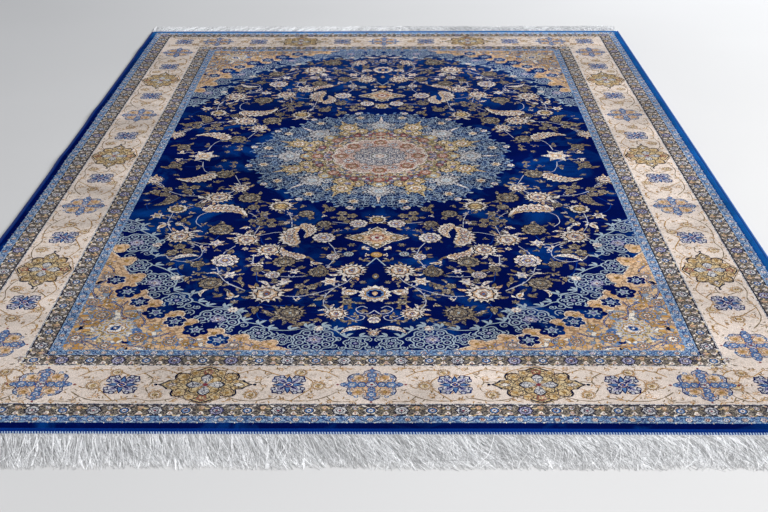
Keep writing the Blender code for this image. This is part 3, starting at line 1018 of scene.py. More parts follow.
def blue_cross(spot):
    """The border's blue and gold lobed cross."""
    for yarn, grow in (("navy", 1.0), ("silver", 0.95), ("lilac", 0.88), ("apricot", 0.83)):
        lay(yarn, four_ways(CROSS), spot.inside(0j, grow))
    for turn in range(4):
        arm = spot.inside(0j, 1.0 if turn % 2 == 0 else 0.92, turn * math.pi / 2)
        lobe = arm.inside(polar(0.040, math.pi / 4), 0.0165)
        for yarn, size in (("taupe", 1.08), ("cream", 0.96), ("apricot", 0.8), ("ochre", 0.34)):
            lay(yarn, lobes(6, size, 0.2, 4), lobe)
        stack(arm, "lilac leaf .066 .017 0 8 .9, silver leaf .060 .012 0 8 .9")
        for along, size in ((0.021, 0.0108), (0.041, 0.0130), (0.060, 0.0068)):
            bloom = arm.inside(complex(along, 0), size)
            for yarn, grow in (("navy", 1.04), ("denim", 0.94), ("silver", 0.54), ("denim", 0.26)):
                lay(yarn, lobes(6, grow, 0.24, 4), bloom)
        lay("wine", disc(0.0032, 7, 0.0715 + 0j), arm)
        for hand in (1, -1):
            twig = curl(polar(0.056, 0.78 - 0.17 * hand), 0.0055, 1.1, 2.5 - 1.5 * hand, hand, 8)
            lay("denim", ribbon(twig, 0.0022), arm)
            foot = arm.inside(complex(0.03, 0.009 * hand), 1, 0.6 * hand)
            lay("rose", leaf(0.014, 0.005, 0.2 * hand, 5), foot)
    for yarn, size in (("royal", 0.0145), ("silver", 0.012), ("wine", 0.0042)):
        lay(yarn, lobes(8, size, 0.2, 4), spot)


def violet_star(spot):
    """The border's small four-lobed violet blue star."""
    for i in range(4):
        side = spot.inside(0j, 1, i * math.pi / 2)
        stack(side, "navy leaf .035 .015 0 6 .8, denim leaf .030 .010 0 5 .8")
        petal = spot.inside(0j, 1, math.pi / 4 + i * math.pi / 2)
        for yarn, length, width in (("navy", 0.046, 0.032), ("silver", 0.042, 0.026), ("lilac", 0.034, 0.013),
                                    ("navy", 0.026, 0.006)):
            lay(yarn, leaf(length, width, 0, 9, 1.5), petal)
        for hand in (1, -1):
            tip = petal.inside(complex(0.033, 0.0105 * hand), 0.0062)
            stack(tip, "navy lobes 4 1.1 .3 4, pale disc .62 7")
    for yarn, size in (("navy", 0.0125), ("cream", 0.0105), ("royal", 0.0075), ("ochre", 0.003)):
        lay(yarn, lobes(4, size, 0.3), spot)


# The gold vines between a blue cross at 0 and a gold cartouche at 350, beside and across in mm
BORDER_VINES = runs("""
    72 -30 96 -50 128 -58 160 -50 188 -34 214 -46 246 -60 284 -44 288 -28, 72 28 92 46 122 60 162 62 206 52
    240 62 276 58 300 44, 150 -40 136 -26 124 -8 128 18 148 40 164 60, 214 -44 232 -28 236 -8 226 12 236 36
    250 56, 92 -48 84 -64 66 -66 44 -60, 92 46 80 62 60 66 36 62, 284 -44 302 -58 326 -64 350 -74, 300 46
    320 60 350 74, 104 6 92 14 82 6, 236 -8 256 -12 266 -4""")
BORDER_FLOWERS = table("""
    palmette 112 4 17 90, palmette 152 -46 15 250, star 240 -24 11 0, star 226 6 8 20,
    palmette 250 38 16 90, star 126 42 11 0, star 196 -60 8 0, star 286 -62 10 10, bud 92 -28 8 200,
    bud 186 56 9 20, star 86 64 8 0, bud 294 58 8 40, star 60 -62 9 0, bud 128 18 7 100, star 318 -52 8 0,
    star 322 54 8 0, bud 210 44 7 300, bud 268 -28 7 150, star 40 66 7 0, star 166 30 7 0, bud 178 -34 7 60,
    star 100 -66 6 0, bud 340 -66 6 0, bud 342 66 6 0""")


def border_vines(band, start, end):
    """The gold vines of one stretch of the border, from a blue cross to a gold cartouche."""
    stretch = (end - start) / 0.35

    def spot_at(beside, across):
        return complex(start + beside * MM * stretch, across * MM)

    for i, points in enumerate(BORDER_VINES):
        line = smooth([spot_at(*point) for point in points], 5)
        lay("bronze" if i % 2 else "ochre", ribbon(line, 0.0027), band)
    for kind, beside, across, size, turn in BORDER_FLOWERS:
        MAKERS[kind](band.inside(spot_at(beside, across), size * MM, math.radians(turn)), "border")
    for i in range(92):
        beside = 26 + (i * 53) % 311
        across = 66 * math.sin(i * 2.4)
        fleck = band.inside(spot_at(beside, across), 0.011, i * 1.7)
        lay("ochre" if i % 2 else "bronze", leaf(1.0, 0.34, 0.15, 5), fleck)


def lay_borders():
    """All bands round the field, from the outside in."""
    lay("royal", oblong(MIDDLE, 1.03 + 1.51j))
    lay("navy", oblong(MIDDLE, 0.9965 + 1.4870j))
    for name, ground, line, width in (("blue guard", "sky", "navy", 0.0016),
                                      ("flower guard", "umber", "midnight", 0.0026),
                                      ("border", "silver", "midnight", 0.003),
                                      ("inner flower guard", "umber", "midnight", 0.003),
                                      ("inner blue guard", "sky", "midnight", 0.0026),
                                      ("field", "navy", "midnight", 0.0026)):
        if name == "inner flower guard":
            # The border's ivory ground stands inside a silver line at both its edges
            lay("ivory", oblong(MIDDLE, BAND_EDGES["border"] - 0.006 * (1 + 1j)))
            lay("silver", oblong(MIDDLE, BAND_EDGES[name] + 0.0035 * (1 + 1j)))
        lay_band(name, ground, line, width)

    def middle(outer, inner):
        return (BAND_EDGES[outer] + BAND_EDGES[inner]) / 2

    for guard, outer, inner, across_count, along_count in (
            (flower_guard, "flower guard", "border", 15, 23),
            (flower_guard, "inner flower guard", "inner blue guard", 12, 20),
            (blue_guard, "blue guard", "flower guard", 26, 38),
            (blue_guard, "inner blue guard", "field", 19, 32)):
        line = middle(outer, inner)
        guard(Spot(complex(0, line.imag)), line.real, across_count)
        guard(Spot(complex(line.real, 0), 1, math.pi / 2, True), line.imag, along_count)

    line = middle("border", "inner flower guard")
    end_band = Spot(complex(0, line.imag))
    side_band = Spot(complex(line.real, 0), 1, math.pi / 2, True)
    for band, start, end in ((end_band, 0.0, 0.35), (end_band, 0.697, 0.35), (end_band, 0.697, 0.9),
                             (side_band, 0.392, 0.0), (side_band, 0.392, 0.793), (side_band, 1.165, 0.793)):
        border_vines(band, start, end)
    for maker, band, places in ((gold_cartouche, end_band, (0.35,)), (blue_cross, end_band, (0.0, 0.697)),
                                (violet_star, end_band, (0.175, 0.526, line.real)),
                                (gold_cartouche, side_band, (0.0, 0.793)),
                                (blue_cross, side_band, (0.392, 1.165)),
                                (violet_star, side_band, (0.184, 0.603, 0.968))):
        for along in places:
            maker(band.inside(complex(along, 0)))


def new_material(name):
    """A material with its tree and shader, or with two empty values where it was made before."""
    material = bpy.data.materials.get(name)
    if material:
        return material, None, None
    material = bpy.data.materials.new(name)
    material.use_nodes = True
    return material, material.node_tree, material.node_tree.nodes["Principled BSDF"]


def scaled_tone(tree, tone, factor, low, high):
    """The colour made darker and lighter by a factor that mostly lies between 0.25 and 0.75."""
    spread = add_node(tree, "MapRange", {"Value": factor, "From Min": 0.25, "From Max": 0.75,
                                         "To Min": low, "To Max": high})
    return add_node(tree, "VectorMath", {0: tone, "Scale": spread.outputs[0]}, operation="SCALE").outputs[0]


def dress_shader(tree, shader, tone, height, strength, depth, inputs):
    """Join the colour and the bumps to the shader, and set the shader's own numbers."""
    bump = add_node(tree, "Bump", {"Height": height, "Strength": strength, "Distance": depth})
    tree.links.new(tone, shader.inputs["Base Color"])
    tree.links.new(bump.outputs[0], shader.inputs["Normal"])
    for name, value in inputs.items():
        shader.inputs[name].default_value = value


def fine_work(tree, name, place, base):
    """Lines or florets finer than the chart, alike in all four quarters."""
    line, mesh, width = MESHES[name]
    folded = add_node(tree, "VectorMath", {0: place}, operation="ABSOLUTE").outputs[0]
    # The meshes wander by up to a centimetre, so that their lines curl
    stray = add_node(tree, "TexNoise", {"Vector": folded, "Scale": 120.0, "Detail": 1.0}).outputs["Color"]
    bent = add_node(tree, "VectorMath", {0: stray, "Scale": 0.010}, operation="SCALE").outputs[0]
    where = add_node(tree, "VectorMath", {0: folded, 1: bent}, operation="ADD").outputs[0]
    cell = {"Vector": where, "Scale": 1 / (mesh * MM)}
    tone = base
    if name in FLORETS:
        cells = add_node(tree, "TexVoronoi", cell)
        drawn = add_node(tree, "SeparateColor", {0: cells.outputs["Color"]}).outputs[0]
        ramp = add_node(tree, "ValToRGB", {0: drawn})
        stops = ramp.color_ramp.elements
        ramp.color_ramp.interpolation = "CONSTANT"
        stops[1].position = 1.0
        for i, code in enumerate(FLORETS[name]):
            stop = stops[0] if i == 0 else stops.new(i / len(FLORETS[name]))
            stop.color = colour(code)
        tone = ramp.outputs[0]
    edges = add_node(tree, "TexVoronoi", cell, feature="DISTANCE_TO_EDGE").outputs["Distance"]
    drawn = add_node(tree, "MapRange", {"Value": edges, "From Min": 0.35 * width / mesh,
                                        "From Max": 0.65 * width / mesh, "To Min": 1.0, "To Max": 0.0})
    return add_node(tree, "Mix", {0: drawn.outputs[0], 6: tone, 7: colour(line)}, data_type="RGBA").outputs[2]


def yarn_material(name):
    """Knotted pile of one dyed yarn: rows of knots, heathered fibres, dye lots in bands, and patches of painted
    sheen and shade.
    """
    _, roughness, sheen, (companion, share, patch) = YARNS[name]
    material, tree, shader = new_material(f"{name}_{'silk' if roughness <= 0.6 else 'wool'}_pile")
    if tree is None:
        return material
    place = add_node(tree, "TexCoord").outputs["Object"]
    base = tone = (*getattr(bpy.context.scene.rug_yarns, name), 1.0)
    if share:
        cells = add_node(tree, "TexVoronoi", {"Vector": place, "Scale": 1 / (patch * MM), "Randomness": 1.0})
        drawn = add_node(tree, "SeparateColor", {0: cells.outputs["Color"]}).outputs[0]
        chosen = add_node(tree, "MapRange", {"Value": drawn, "From Min": share - 0.04, "From Max": share + 0.04,
                                             "To Min": 1.0, "To Max": 0.0})
        tone = add_node(tree, "Mix", {0: chosen.outputs[0], 6: base, 7: colour(companion)},
                        data_type="RGBA").outputs[2]
    if name in MESHES:
        tone = fine_work(tree, name, place, tone)
    if name == "navy":
        # Silk field: soft patches of painted sheen, where the pile turns and its colour is painted a brighter
        # blue
        turned = add_node(tree, "TexNoise", {"Vector": place, "Scale": 5.5, "Detail": 4.0, "Roughness": 0.6,
                                             "Distortion": 0.8})
        shown = add_node(tree, "MapRange", {"Value": turned.outputs["Fac"], "From Min": 0.52, "From Max": 0.80,
                                            "To Max": 0.85})
        tone = add_node(tree, "Mix", {0: shown.outputs[0], 6: base, 7: colour("0b4c9e")},
                        data_type="RGBA").outputs[2]
        # Painted sheen: the far half of the field is painted a brighter blue, standing in for the silk catching
        # more light there
        along = add_node(tree, "SeparateXYZ", {0: place}).outputs[1]
        bright = add_node(tree, "MapRange", {"Value": along, "From Min": 0.3, "From Max": 1.2, "To Max": 0.30})
        tone = add_node(tree, "Mix", {0: bright.outputs[0], 6: tone, 7: colour("1d4f96")},
                        data_type="RGBA").outputs[2]
    if name in ("navy", "sky", "royal"):
        # Painted highlight: the farthest band and the right edge are painted a brighter colour, where the pile
        # leans the other way and catches the light
        across, along = add_node(tree, "SeparateXYZ", {0: place}).outputs[:2]
        far, right = (add_node(tree, "MapRange", {"Value": value, "From Min": start, "From Max": end,
                                                  "To Max": most}).outputs[0]
                      for value, start, end, most in ((along, 1.37, 1.47, 0.8), (across, 0.969, 0.978, 0.45)))
        shown = add_node(tree, "Math", {0: far, 1: right}, operation="MAXIMUM").outputs[0]
        painted_highlight_colour = colour("b3d0ee" if name == "sky" else "2272bc")
        tone = add_node(tree, "Mix", {0: shown, 6: tone, 7: painted_highlight_colour}, data_type="RGBA").outputs[2]
    # Dye lots change along the rug, so their bands run across it
    lots = add_node(tree, "Mapping", {"Vector": place, "Scale": (0.5, 5.0, 1.0)}).outputs[0]
    lot = add_node(tree, "TexNoise", {"Vector": lots, "Scale": 3.0, "Detail": 3.0, "Roughness": 0.6})
    # Random patches of painted sheen and shade: the pile leans a little differently from place to place, and its
    # colour is painted lighter or darker for it
    lean = add_node(tree, "TexNoise", {"Vector": place, "Scale": 3.4, "Detail": 2.0, "Roughness": 0.5,
                                       "Distortion": 0.6})
    # Single tufts at about two millimetres
    fibre = add_node(tree, "TexNoise", {"Vector": place, "Scale": 420.0, "Detail": 2.0, "Roughness": 0.75})
    # One period of the wave texture is a twentieth of a turn at scale 1
    knot = {"Vector": place, "Scale": TURN / 20.0 / sizes().knot_pitch, "Distortion": 0.4, "Detail": 1.0,
            "Detail Scale": 2.0}
    columns, rows = (add_node(tree, "TexWave", knot, bands_direction=way).outputs["Fac"] for way in "XY")
    knots = add_node(tree, "Math", {0: columns, 1: rows}, operation="MULTIPLY").outputs[0]
    if isinstance(tone, tuple):
        dye = add_node(tree, "RGB")
        dye.outputs[0].default_value = tone
        tone = dye.outputs[0]
    for factor, low, high in ((lot.outputs["Fac"], 0.84, 1.16), (lean.outputs["Fac"], 0.76, 1.26),
                              (fibre.outputs["Fac"], 0.50, 1.42), (knots, 0.84, 1.12)):
        tone = scaled_tone(tree, tone, factor, low, high)
    height = add_node(tree, "Math", {0: knots, 1: fibre.outputs["Fac"]}, operation="ADD")
    # The tips of silk and wool catch the light in their own dyed colour and mirror nothing
    dress_shader(tree, shader, tone, height.outputs[0], 0.6, 0.0009, {
        "Roughness": roughness, "Sheen Weight": sheen, "Sheen Roughness": 0.45, "Specular IOR Level": 0.0,
        "Sheen Tint": (*(min(1.0, 1.5 * part + 0.01) for part in base[:3]), 1.0)})
    return material


def thread_material(name, code, roughness, sheen, grain, depth, spread=0.25, strands=0.0):
    """Twisted cotton or wool thread: a fine grain in colour and surface."""
    material, tree, shader = new_material(name)
    if tree is None:
        return material
    place = add_node(tree, "TexCoord").outputs["Object"]
    fine = add_node(tree, "TexNoise", {"Vector": place, "Scale": grain, "Detail": 3.0, "Roughness": 0.65})
    broad = add_node(tree, "TexNoise", {"Vector": place, "Scale": 9.0, "Detail": 3.0, "Roughness": 0.6})
    dye = add_node(tree, "RGB")
    dye.outputs[0].default_value = colour(code)
    tone = dye.outputs[0]
    shades = [(fine.outputs["Fac"], 1.0), (broad.outputs["Fac"], 0.6)]
    if strands:
        # Each warp end is painted a little whiter or greyer than the next: partly random tone, partly painted
        # shade between the strands
        shades.append((add_node(tree, "NewGeometry").outputs["Random Per Island"], strands / spread))
    for factor, share in shades:
        tone = scaled_tone(tree, tone, factor, 1 - spread * share, 1 + spread * share * 0.5)
    dress_shader(tree, shader, tone, fine.outputs["Fac"], 0.5, depth, {
        "Roughness": roughness, "Sheen Weight": sheen, "Specular IOR Level": 0.1})
    return material


def foundation_material():
    # Undyed cotton darkened by the backs of the knots: dull, finely ribbed
    return thread_material("cotton_foundation_with_navy_knot_backs", "1a2456", 0.85, 0.1, 700.0, 0.0005)


def selvedge_material(side_name):
    # Twisted wool wound tightly over a cord: dull thread with a soft shine along the turns.
    # The right one's colour is painted lighter, a painted highlight for the side that faces the light.
    code = {"left": "06286c", "right": "125aa6"}[side_name]
    return thread_material(f"{side_name}_overcast_wool", code, 0.7, 0.05, 900.0, 0.0004)


def heading_material():
    # Cotton tape weave: matt, deep blue under the pale stitches that make it look light blue
    return thread_material("light_blue_cotton_heading", "123f86", 0.8, 0.2, 900.0, 0.0004)


def stitch_material():
    # Cotton stitching thread over the heading, paler than it
    return thread_material("pale_blue_cotton_stitching", "b6cce6", 0.75, 0.3, 1100.0, 0.0003)


def warp_material():
    # Unspun ends of white cotton warp: matt, slightly blue white, a little grey in the shade; single ends are
    # painted greyer as painted shade between the strands
    return thread_material("white_cotton_warp", "f6f7f9", 0.75, 0.25, 260.0, 0.0002, spread=0.2, strands=0.36)


def floor_material():
    # Pale painted studio floor: matt and even
    material, tree, shader = new_material("pale_matt_studio_floor")
    if tree is None:
        return material
    place = add_node(tree, "TexCoord").outputs["Object"]
    mottle = add_node(tree, "TexNoise", {"Vector": place, "Scale": 1.2, "Detail": 2.0}).outputs["Fac"]
    grey = add_node(tree, "MapRange", {"Value": mottle, "To Min": 0.62, "To Max": 0.68}).outputs[0]
    tone = add_node(tree, "CombineColor", {0: grey, 1: grey, 2: grey})
    tree.links.new(tone.outputs[0], shader.inputs["Base Color"])
    shader.inputs["Roughness"].default_value = 0.85
    return material


def lift(x, y):
    """How far the cloth's left side ripples up from the floor at a place."""
    inward = (x + 1.0) / RIPPLE_DEPTH
    if inward >= 1.0:
        return 0.0
    height = 0.0
    for ripple in EDGE_RIPPLES:
        along = (y - ripple["at"]) / ripple["half"]
        if abs(along) < 1.0:
            height += ripple["lift"] * (0.5 + 0.5 * math.cos(math.pi * along))
    return height * (0.5 + 0.5 * math.cos(math.pi * max(inward, 0.0)))


def swell(x, y):
    """Low swells and dips of a rug that has been walked on, from -1 to 1."""
    return (0.45 * math.sin(5.1 * x + 1.3 * math.sin(2.3 * y))
            + 0.35 * math.sin(4.3 * y + 0.9 * math.sin(3.1 * x))
            + 0.2 * math.sin(11.0 * x - 7.0 * y))


def pile_height(x, y):
    """Height of the pile's surface, rounded off at the cloth's outer edge."""
    inset = min(PILE_EDGE.real - abs(x), PILE_EDGE.imag - abs(y))
    drop = 0.0
    if inset < ROUNDING:
        share = 1.0 - max(inset, 0.0) / ROUNDING
        drop = ROUND_DROP * (1.0 - math.sqrt(max(0.0, 1.0 - share * share)))
    return sizes().pile_top - drop + lift(x, y) + sizes().waviness * swell(x, y)


def add_object(name, data):
    """An object in the scene for a mesh, light or camera."""
    new = bpy.data.objects.new(name, data)
    bpy.context.scene.collection.objects.link(new)
    return new


def add_piece(name, points, faces, materials, node=None, indices=None, smooth=True):
    """A mesh object that rides on the rug, takes its finish from a slot and stands for a node of the solids."""
    mesh = bpy.data.meshes.new(name)
    mesh.from_pydata(points, [], faces)
    for material in materials:
        mesh.materials.append(material)
    if indices is not None:
        mesh.polygons.foreach_set("material_index", indices)
    if smooth:
        mesh.polygons.foreach_set("use_smooth", [True] * len(mesh.polygons))
    mesh.update()
    piece = add_object(name, mesh)
    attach(piece, ROOT)
    if node:
        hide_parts(node)
    return piece


def lay_flat_map(piece):
    """A flat texture layout seen from above, for baking the piece."""
    mesh = piece.data
    corners = np.empty(len(mesh.loops), dtype=np.int32)
    mesh.loops.foreach_get("vertex_index", corners)
    places = np.empty(len(mesh.vertices) * 3, dtype=np.float32)
    mesh.vertices.foreach_get("co", places)
    places = places.reshape(-1, 3)[:, :2]
    low = np.array([min(v.co[i] for v in mesh.vertices) for i in (0, 1)])
    span = np.array([max(v.co[i] for v in mesh.vertices) for i in (0, 1)]) - low
    layout = mesh.uv_layers.new(name="OFBake")
    layout.data.foreach_set("uv", (0.004 + 0.992 * (places[corners] - low) / span).astype(np.float32).ravel())


def thread_lines(low, high, step, edge):
    """Even lines across a stretch, and close ones where the pile rounds off at its edge."""
    lines = list(np.arange(low + step, high - step / 2, step))
    if abs(high - edge) < MM:
        lines += [high - inset for inset in (ROUNDING, 0.0022, 0.0012, 0.0004)]
    return lines


def anticlockwise(outline):
    """The outline with its inside on the left, as the weaving needs it."""
    turned = sum((a.conjugate() * b).imag for a, b in zip(outline, outline[1:] + outline[:1]))
    return outline if turned > 0 else outline[::-1]


def weave(low, high):
    """Flat triangles of the chart inside a rectangle, each with its yarn's number.

    Every patch goes in as a closed outline. A triangle belongs to all patches over it,
    and it takes the yarn of the one laid last.
    """
    patches = [("navy", oblong(low, high))]
    for yarn, outline in CHART:
        reals = [point.real for point in outline]
        rises = [point.imag for point in outline]
        beside = max(reals) < low.real or min(reals) > high.real
        if not beside and max(rises) > low.imag and min(rises) < high.imag:
            patches.append((yarn, anticlockwise(outline)))
    points, outlines, lines = [], [], []
    for _, outline in patches:
        outlines.append(list(range(len(points), len(points) + len(outline))))
        points += outline
    columns = thread_lines(low.real, high.real, BEND_STEP, PILE_EDGE.real)
    rows = thread_lines(low.imag, high.imag, BEND_STEP, PILE_EDGE.imag)
    for start, end in ([(complex(x, low.imag), complex(x, high.imag)) for x in columns]
                       + [(complex(low.real, y), complex(high.real, y)) for y in rows]):
        lines.append((len(points), len(points) + 1))
        points += [start, end]
    flat, _, triangles, _, _, sources = delaunay_2d_cdt(
        [Vector((point.real, point.imag)) for point in points], lines, outlines, 2, 1e-6, True)
    faces, yarns = [], []
    for triangle, over in zip(triangles, sources):
        if 0 in over:
            faces.append(triangle)
            yarns.append(YARN_NAMES.index(patches[max(over)][0]))
    return thinned(flat, faces, yarns, columns, rows)


def thinned(flat, faces, yarns, columns, rows):
    """The same picture in fewer triangles: edges that part nothing are taken out."""
    mesh = bpy.data.meshes.new("weaving")
    mesh.from_pydata([(point.x, point.y, 0.0) for point in flat], [], faces)
    places = np.array([point[:] for point in flat])
    middles = places[np.array(faces)].mean(axis=1)
    cells = np.searchsorted(columns, middles[:, 0]) + np.searchsorted(rows, middles[:, 1])
    # Neighbouring cells of the even lines stay apart, so the cloth can swell and ripple
    mesh.polygons.foreach_set("material_index", np.array(yarns) * 2 + cells % 2)
    shape = bmesh.new()
    shape.from_mesh(mesh)
    bpy.data.meshes.remove(mesh)
    bmesh.ops.delete(shape, geom=[vert for vert in shape.verts if not vert.link_faces], context="VERTS")
    bmesh.ops.dissolve_limit(shape, angle_limit=0.01, use_dissolve_boundaries=False, verts=shape.verts,
                             edges=shape.edges, delimit={"MATERIAL"})
    bmesh.ops.triangulate(shape, faces=shape.faces)
    points = [(vert.co.x, vert.co.y) for vert in shape.verts]
    shape.verts.index_update()
    faces = [[vert.index for vert in face.verts] for face in shape.faces]
    yarns = [face.material_index // 2 for face in shape.faces]
    shape.free()
    return points, faces, yarns


def mirrored_pile(name, woven, side, end):
    """One mirrored copy of a woven quarter as a piece of pile."""
    flat, faces, yarns = woven
    points = [(side * x, end * y, pile_height(side * x, end * y)) for x, y in flat]
    if side * end < 0:
        faces = [face[::-1] for face in faces]
    used = sorted(set(yarns))
    place = {yarn: i for i, yarn in enumerate(used)}
    materials = [yarn_material(YARN_NAMES[yarn]) for yarn in used]
    lay_flat_map(add_piece(name, points, faces, materials, "pile_rug", [place[yarn] for yarn in yarns]))


def pile_region(title, low, high):
    """The same woven region in all four quarters of the rug."""
    woven = weave(low, high)
    for end_name, end in ENDS:
        for side_name, side in SIDES:
            mirrored_pile(f"{title}_{end_name}_{side_name}", woven, side, end)


def closed_tube(points, faces, rings):
    """Append a tube through rings of equal size, closed at both ends."""
    start = len(points)
    count = len(rings[0])
    for ring in rings:
        points += ring
    for i in range(len(rings) - 1):
        a = start + i * count
        for j in range(count):
            k = (j + 1) % count
            faces.append((a + j, a + k, a + count + k, a + count + j))
    faces.append(tuple(start + j for j in reversed(range(count))))
    last = start + (len(rings) - 1) * count
    faces.append(tuple(last + j for j in range(count)))


def make_foundation():
    """The woven foundation of cotton warps and wefts under the pile, one closed sheet."""
    half = PILE_EDGE - 0.0006 * (1 + 1j)
    across, along = 24, 36
    xs = np.linspace(-half.real, half.real, across + 1)
    ys = np.linspace(-half.imag, half.imag, along + 1)
    points = [(x, y, lift(x, y) + thickness)
              for thickness in (0.0, sizes().foundation_top) for y in ys for x in xs]
    faces = []
    row = across + 1
    layer = row * (along + 1)
    for j in range(along):
        for i in range(across):
            a = j * row + i
            faces.append((a, a + row, a + row + 1, a + 1))
            faces.append((layer + a, layer + a + 1, layer + a + row + 1, layer + a + row))
    rim = list(range(row)) + [j * row + across for j in range(1, along + 1)]
    rim += [along * row + i for i in range(across - 1, -1, -1)] + [j * row for j in range(along - 1, 0, -1)]
    for a, b in zip(rim, rim[1:] + rim[:1]):
        faces.append((a, b, layer + b, layer + a))
    add_piece("foundation", points, faces, [foundation_material()], smooth=False)


# The overcasting of a side: its width, its height, the pitch of its turns and their slant over the top
CORD_WIDTH, CORD_HEIGHT, CORD_PITCH, CORD_SLANT = 0.0082, 0.0086, 0.0046, 0.0011


def make_selvedge(side_name, side):
    """The side cord under its overcasting of blue wool, turn beside turn."""
    node = f"selvedge_{side_name}"
    low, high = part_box(node)
    inner = min(abs(low[0]), abs(high[0]))
    around, rounds = 7, 3 * int((high[1] - low[1]) / CORD_PITCH)
    rings = []
    for i in range(rounds + 1):
        y = low[1] + (high[1] - low[1]) * i / rounds
        # A turn has three rings, and it is narrower where it meets the next one
        swelling = 0.90 if i % 3 == 0 else 1.0
        ring = []
        for j in range(around):
            angle = TURN * j / around
            x = inner + CORD_WIDTH / 2 + CORD_WIDTH / 2 * swelling * math.cos(angle)
            z = CORD_HEIGHT / 2 + CORD_HEIGHT / 2 * swelling * math.sin(angle) * 0.98
            z += lift(side * x, y) if side < 0 else 0.0
            ring.append((side * x, y + CORD_SLANT * math.sin(angle) * side, z))
        rings.append(ring if side < 0 else ring[::-1])
    points, faces = [], []
    closed_tube(points, faces, rings)
    add_piece(f"overcast_{side_name}", points, faces, [selvedge_material(side_name)], node)


# Half the length of the heading's strip and of its row of stitches
STRIP_HALF, STITCHED_HALF = 0.9985, 0.998
# The section of the strip: True for a place out from the pile, False for one in from the fringe, and height
STRIP_SECTION = ((True, -0.0004, 0.0008), (False, -0.0002, 0.0004), (False, -0.0002, 0.0032),
                 (True, 0.002, 0.0054), (True, -0.0004, 0.0062))
# A stitch: the pitch of the row, the slant across the heading and half of the thread's width
STITCH_PITCH, STITCH_SLANT, STITCH_HALF = 0.0054, 0.0014, 0.0014


def make_heading(end_name, end):
    """The stitched flat end: a blue woven strip with pale slanting blanket stitches over it."""
    node = f"heading_{end_name}"
    low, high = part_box(node)
    inner, outer = sorted((abs(low[1]), abs(high[1])))
    points, faces, rings = [], [], []
    count = 160
    for i in range(count + 1):
        x = -STRIP_HALF + 2 * STRIP_HALF * i / count
        ring = []
        for by_pile, beyond, height in STRIP_SECTION:
            y = end * ((inner if by_pile else outer) + beyond)
            ring.append((x, y, height + lift(x, y)))
        rings.append(ring if end < 0 else ring[::-1])
    closed_tube(points, faces, rings)
    add_piece(f"heading_strip_{end_name}", points, faces, [heading_material()], node, smooth=False)
    chance = random.Random(31 if end < 0 else 32)
    points, faces = [], []
    for i in range(int(2 * STITCHED_HALF / STITCH_PITCH)):
        x = -STITCHED_HALF + (i + 0.5) * STITCH_PITCH + chance.uniform(-0.0003, 0.0003)
        slant = STITCH_SLANT + chance.uniform(-0.0003, 0.0003)
        rings = []
        for t in np.linspace(0.0, 1.0, 4):
            y = end * (inner - 0.0006 + (outer - inner + 0.0008) * t)
            top = 0.0068 - 0.0034 * t ** 1.3
            thick = STITCH_HALF
            if t in (0.0, 1.0):
                # The thread dips into the cloth at both ends
                top -= 0.0016
                thick *= 0.75
            ring = []
            for angle in (TURN * j / 4 for j in range(4)):
                z = top + 0.7 * thick * math.sin(angle) + lift(x, y)
                ring.append((x + slant * t + thick * math.cos(angle), y, z))
            rings.append(ring if end < 0 else ring[::-1])
        closed_tube(points, faces, rings)
    add_piece(f"heading_stitches_{end_name}", points, faces, [stitch_material()], node)


# How the warp ends lean: place across, then degrees at the roots and at the tips
LEANS = {
    "near": ((-1.00, 0, 0), (-0.90, 12, 12), (-0.30, 18, 22), (0.05, 26, 24), (0.40, 32, 8),
             (0.70, 28, -8), (0.88, 14, -6), (1.00, 0, 0)),
    "far": ((-1.00, 0, 0), (-0.90, 10, 6), (-0.20, 16, 20), (0.35, -8, -14), (0.90, 8, 4), (1.00, 0, 0)),
}
LOCKS = 150
# Half the length of the row of roots, and how far outside the heading's edge it lies
ROOTS_HALF, ROOTS_OUT = 0.9975, 0.0012


def strand_rings(spine, thickness, end, broad=1.0):
    """Three-sided rings along a strand's spine that thin to its tip, or a broad flat bunch's."""
    rings = []
    last = len(spine) - 1
    for i, (x, y, z) in enumerate(spine):
        size = thickness * (1.0 - 0.55 * (i / last) ** 2)
        side = size * 0.5 * broad
        ring = [(x + side, y, z - size * 0.28), (x, y, z + size * 0.55), (x - side, y, z - size * 0.28)]
        rings.append(ring if end < 0 else ring[::-1])
    return rings


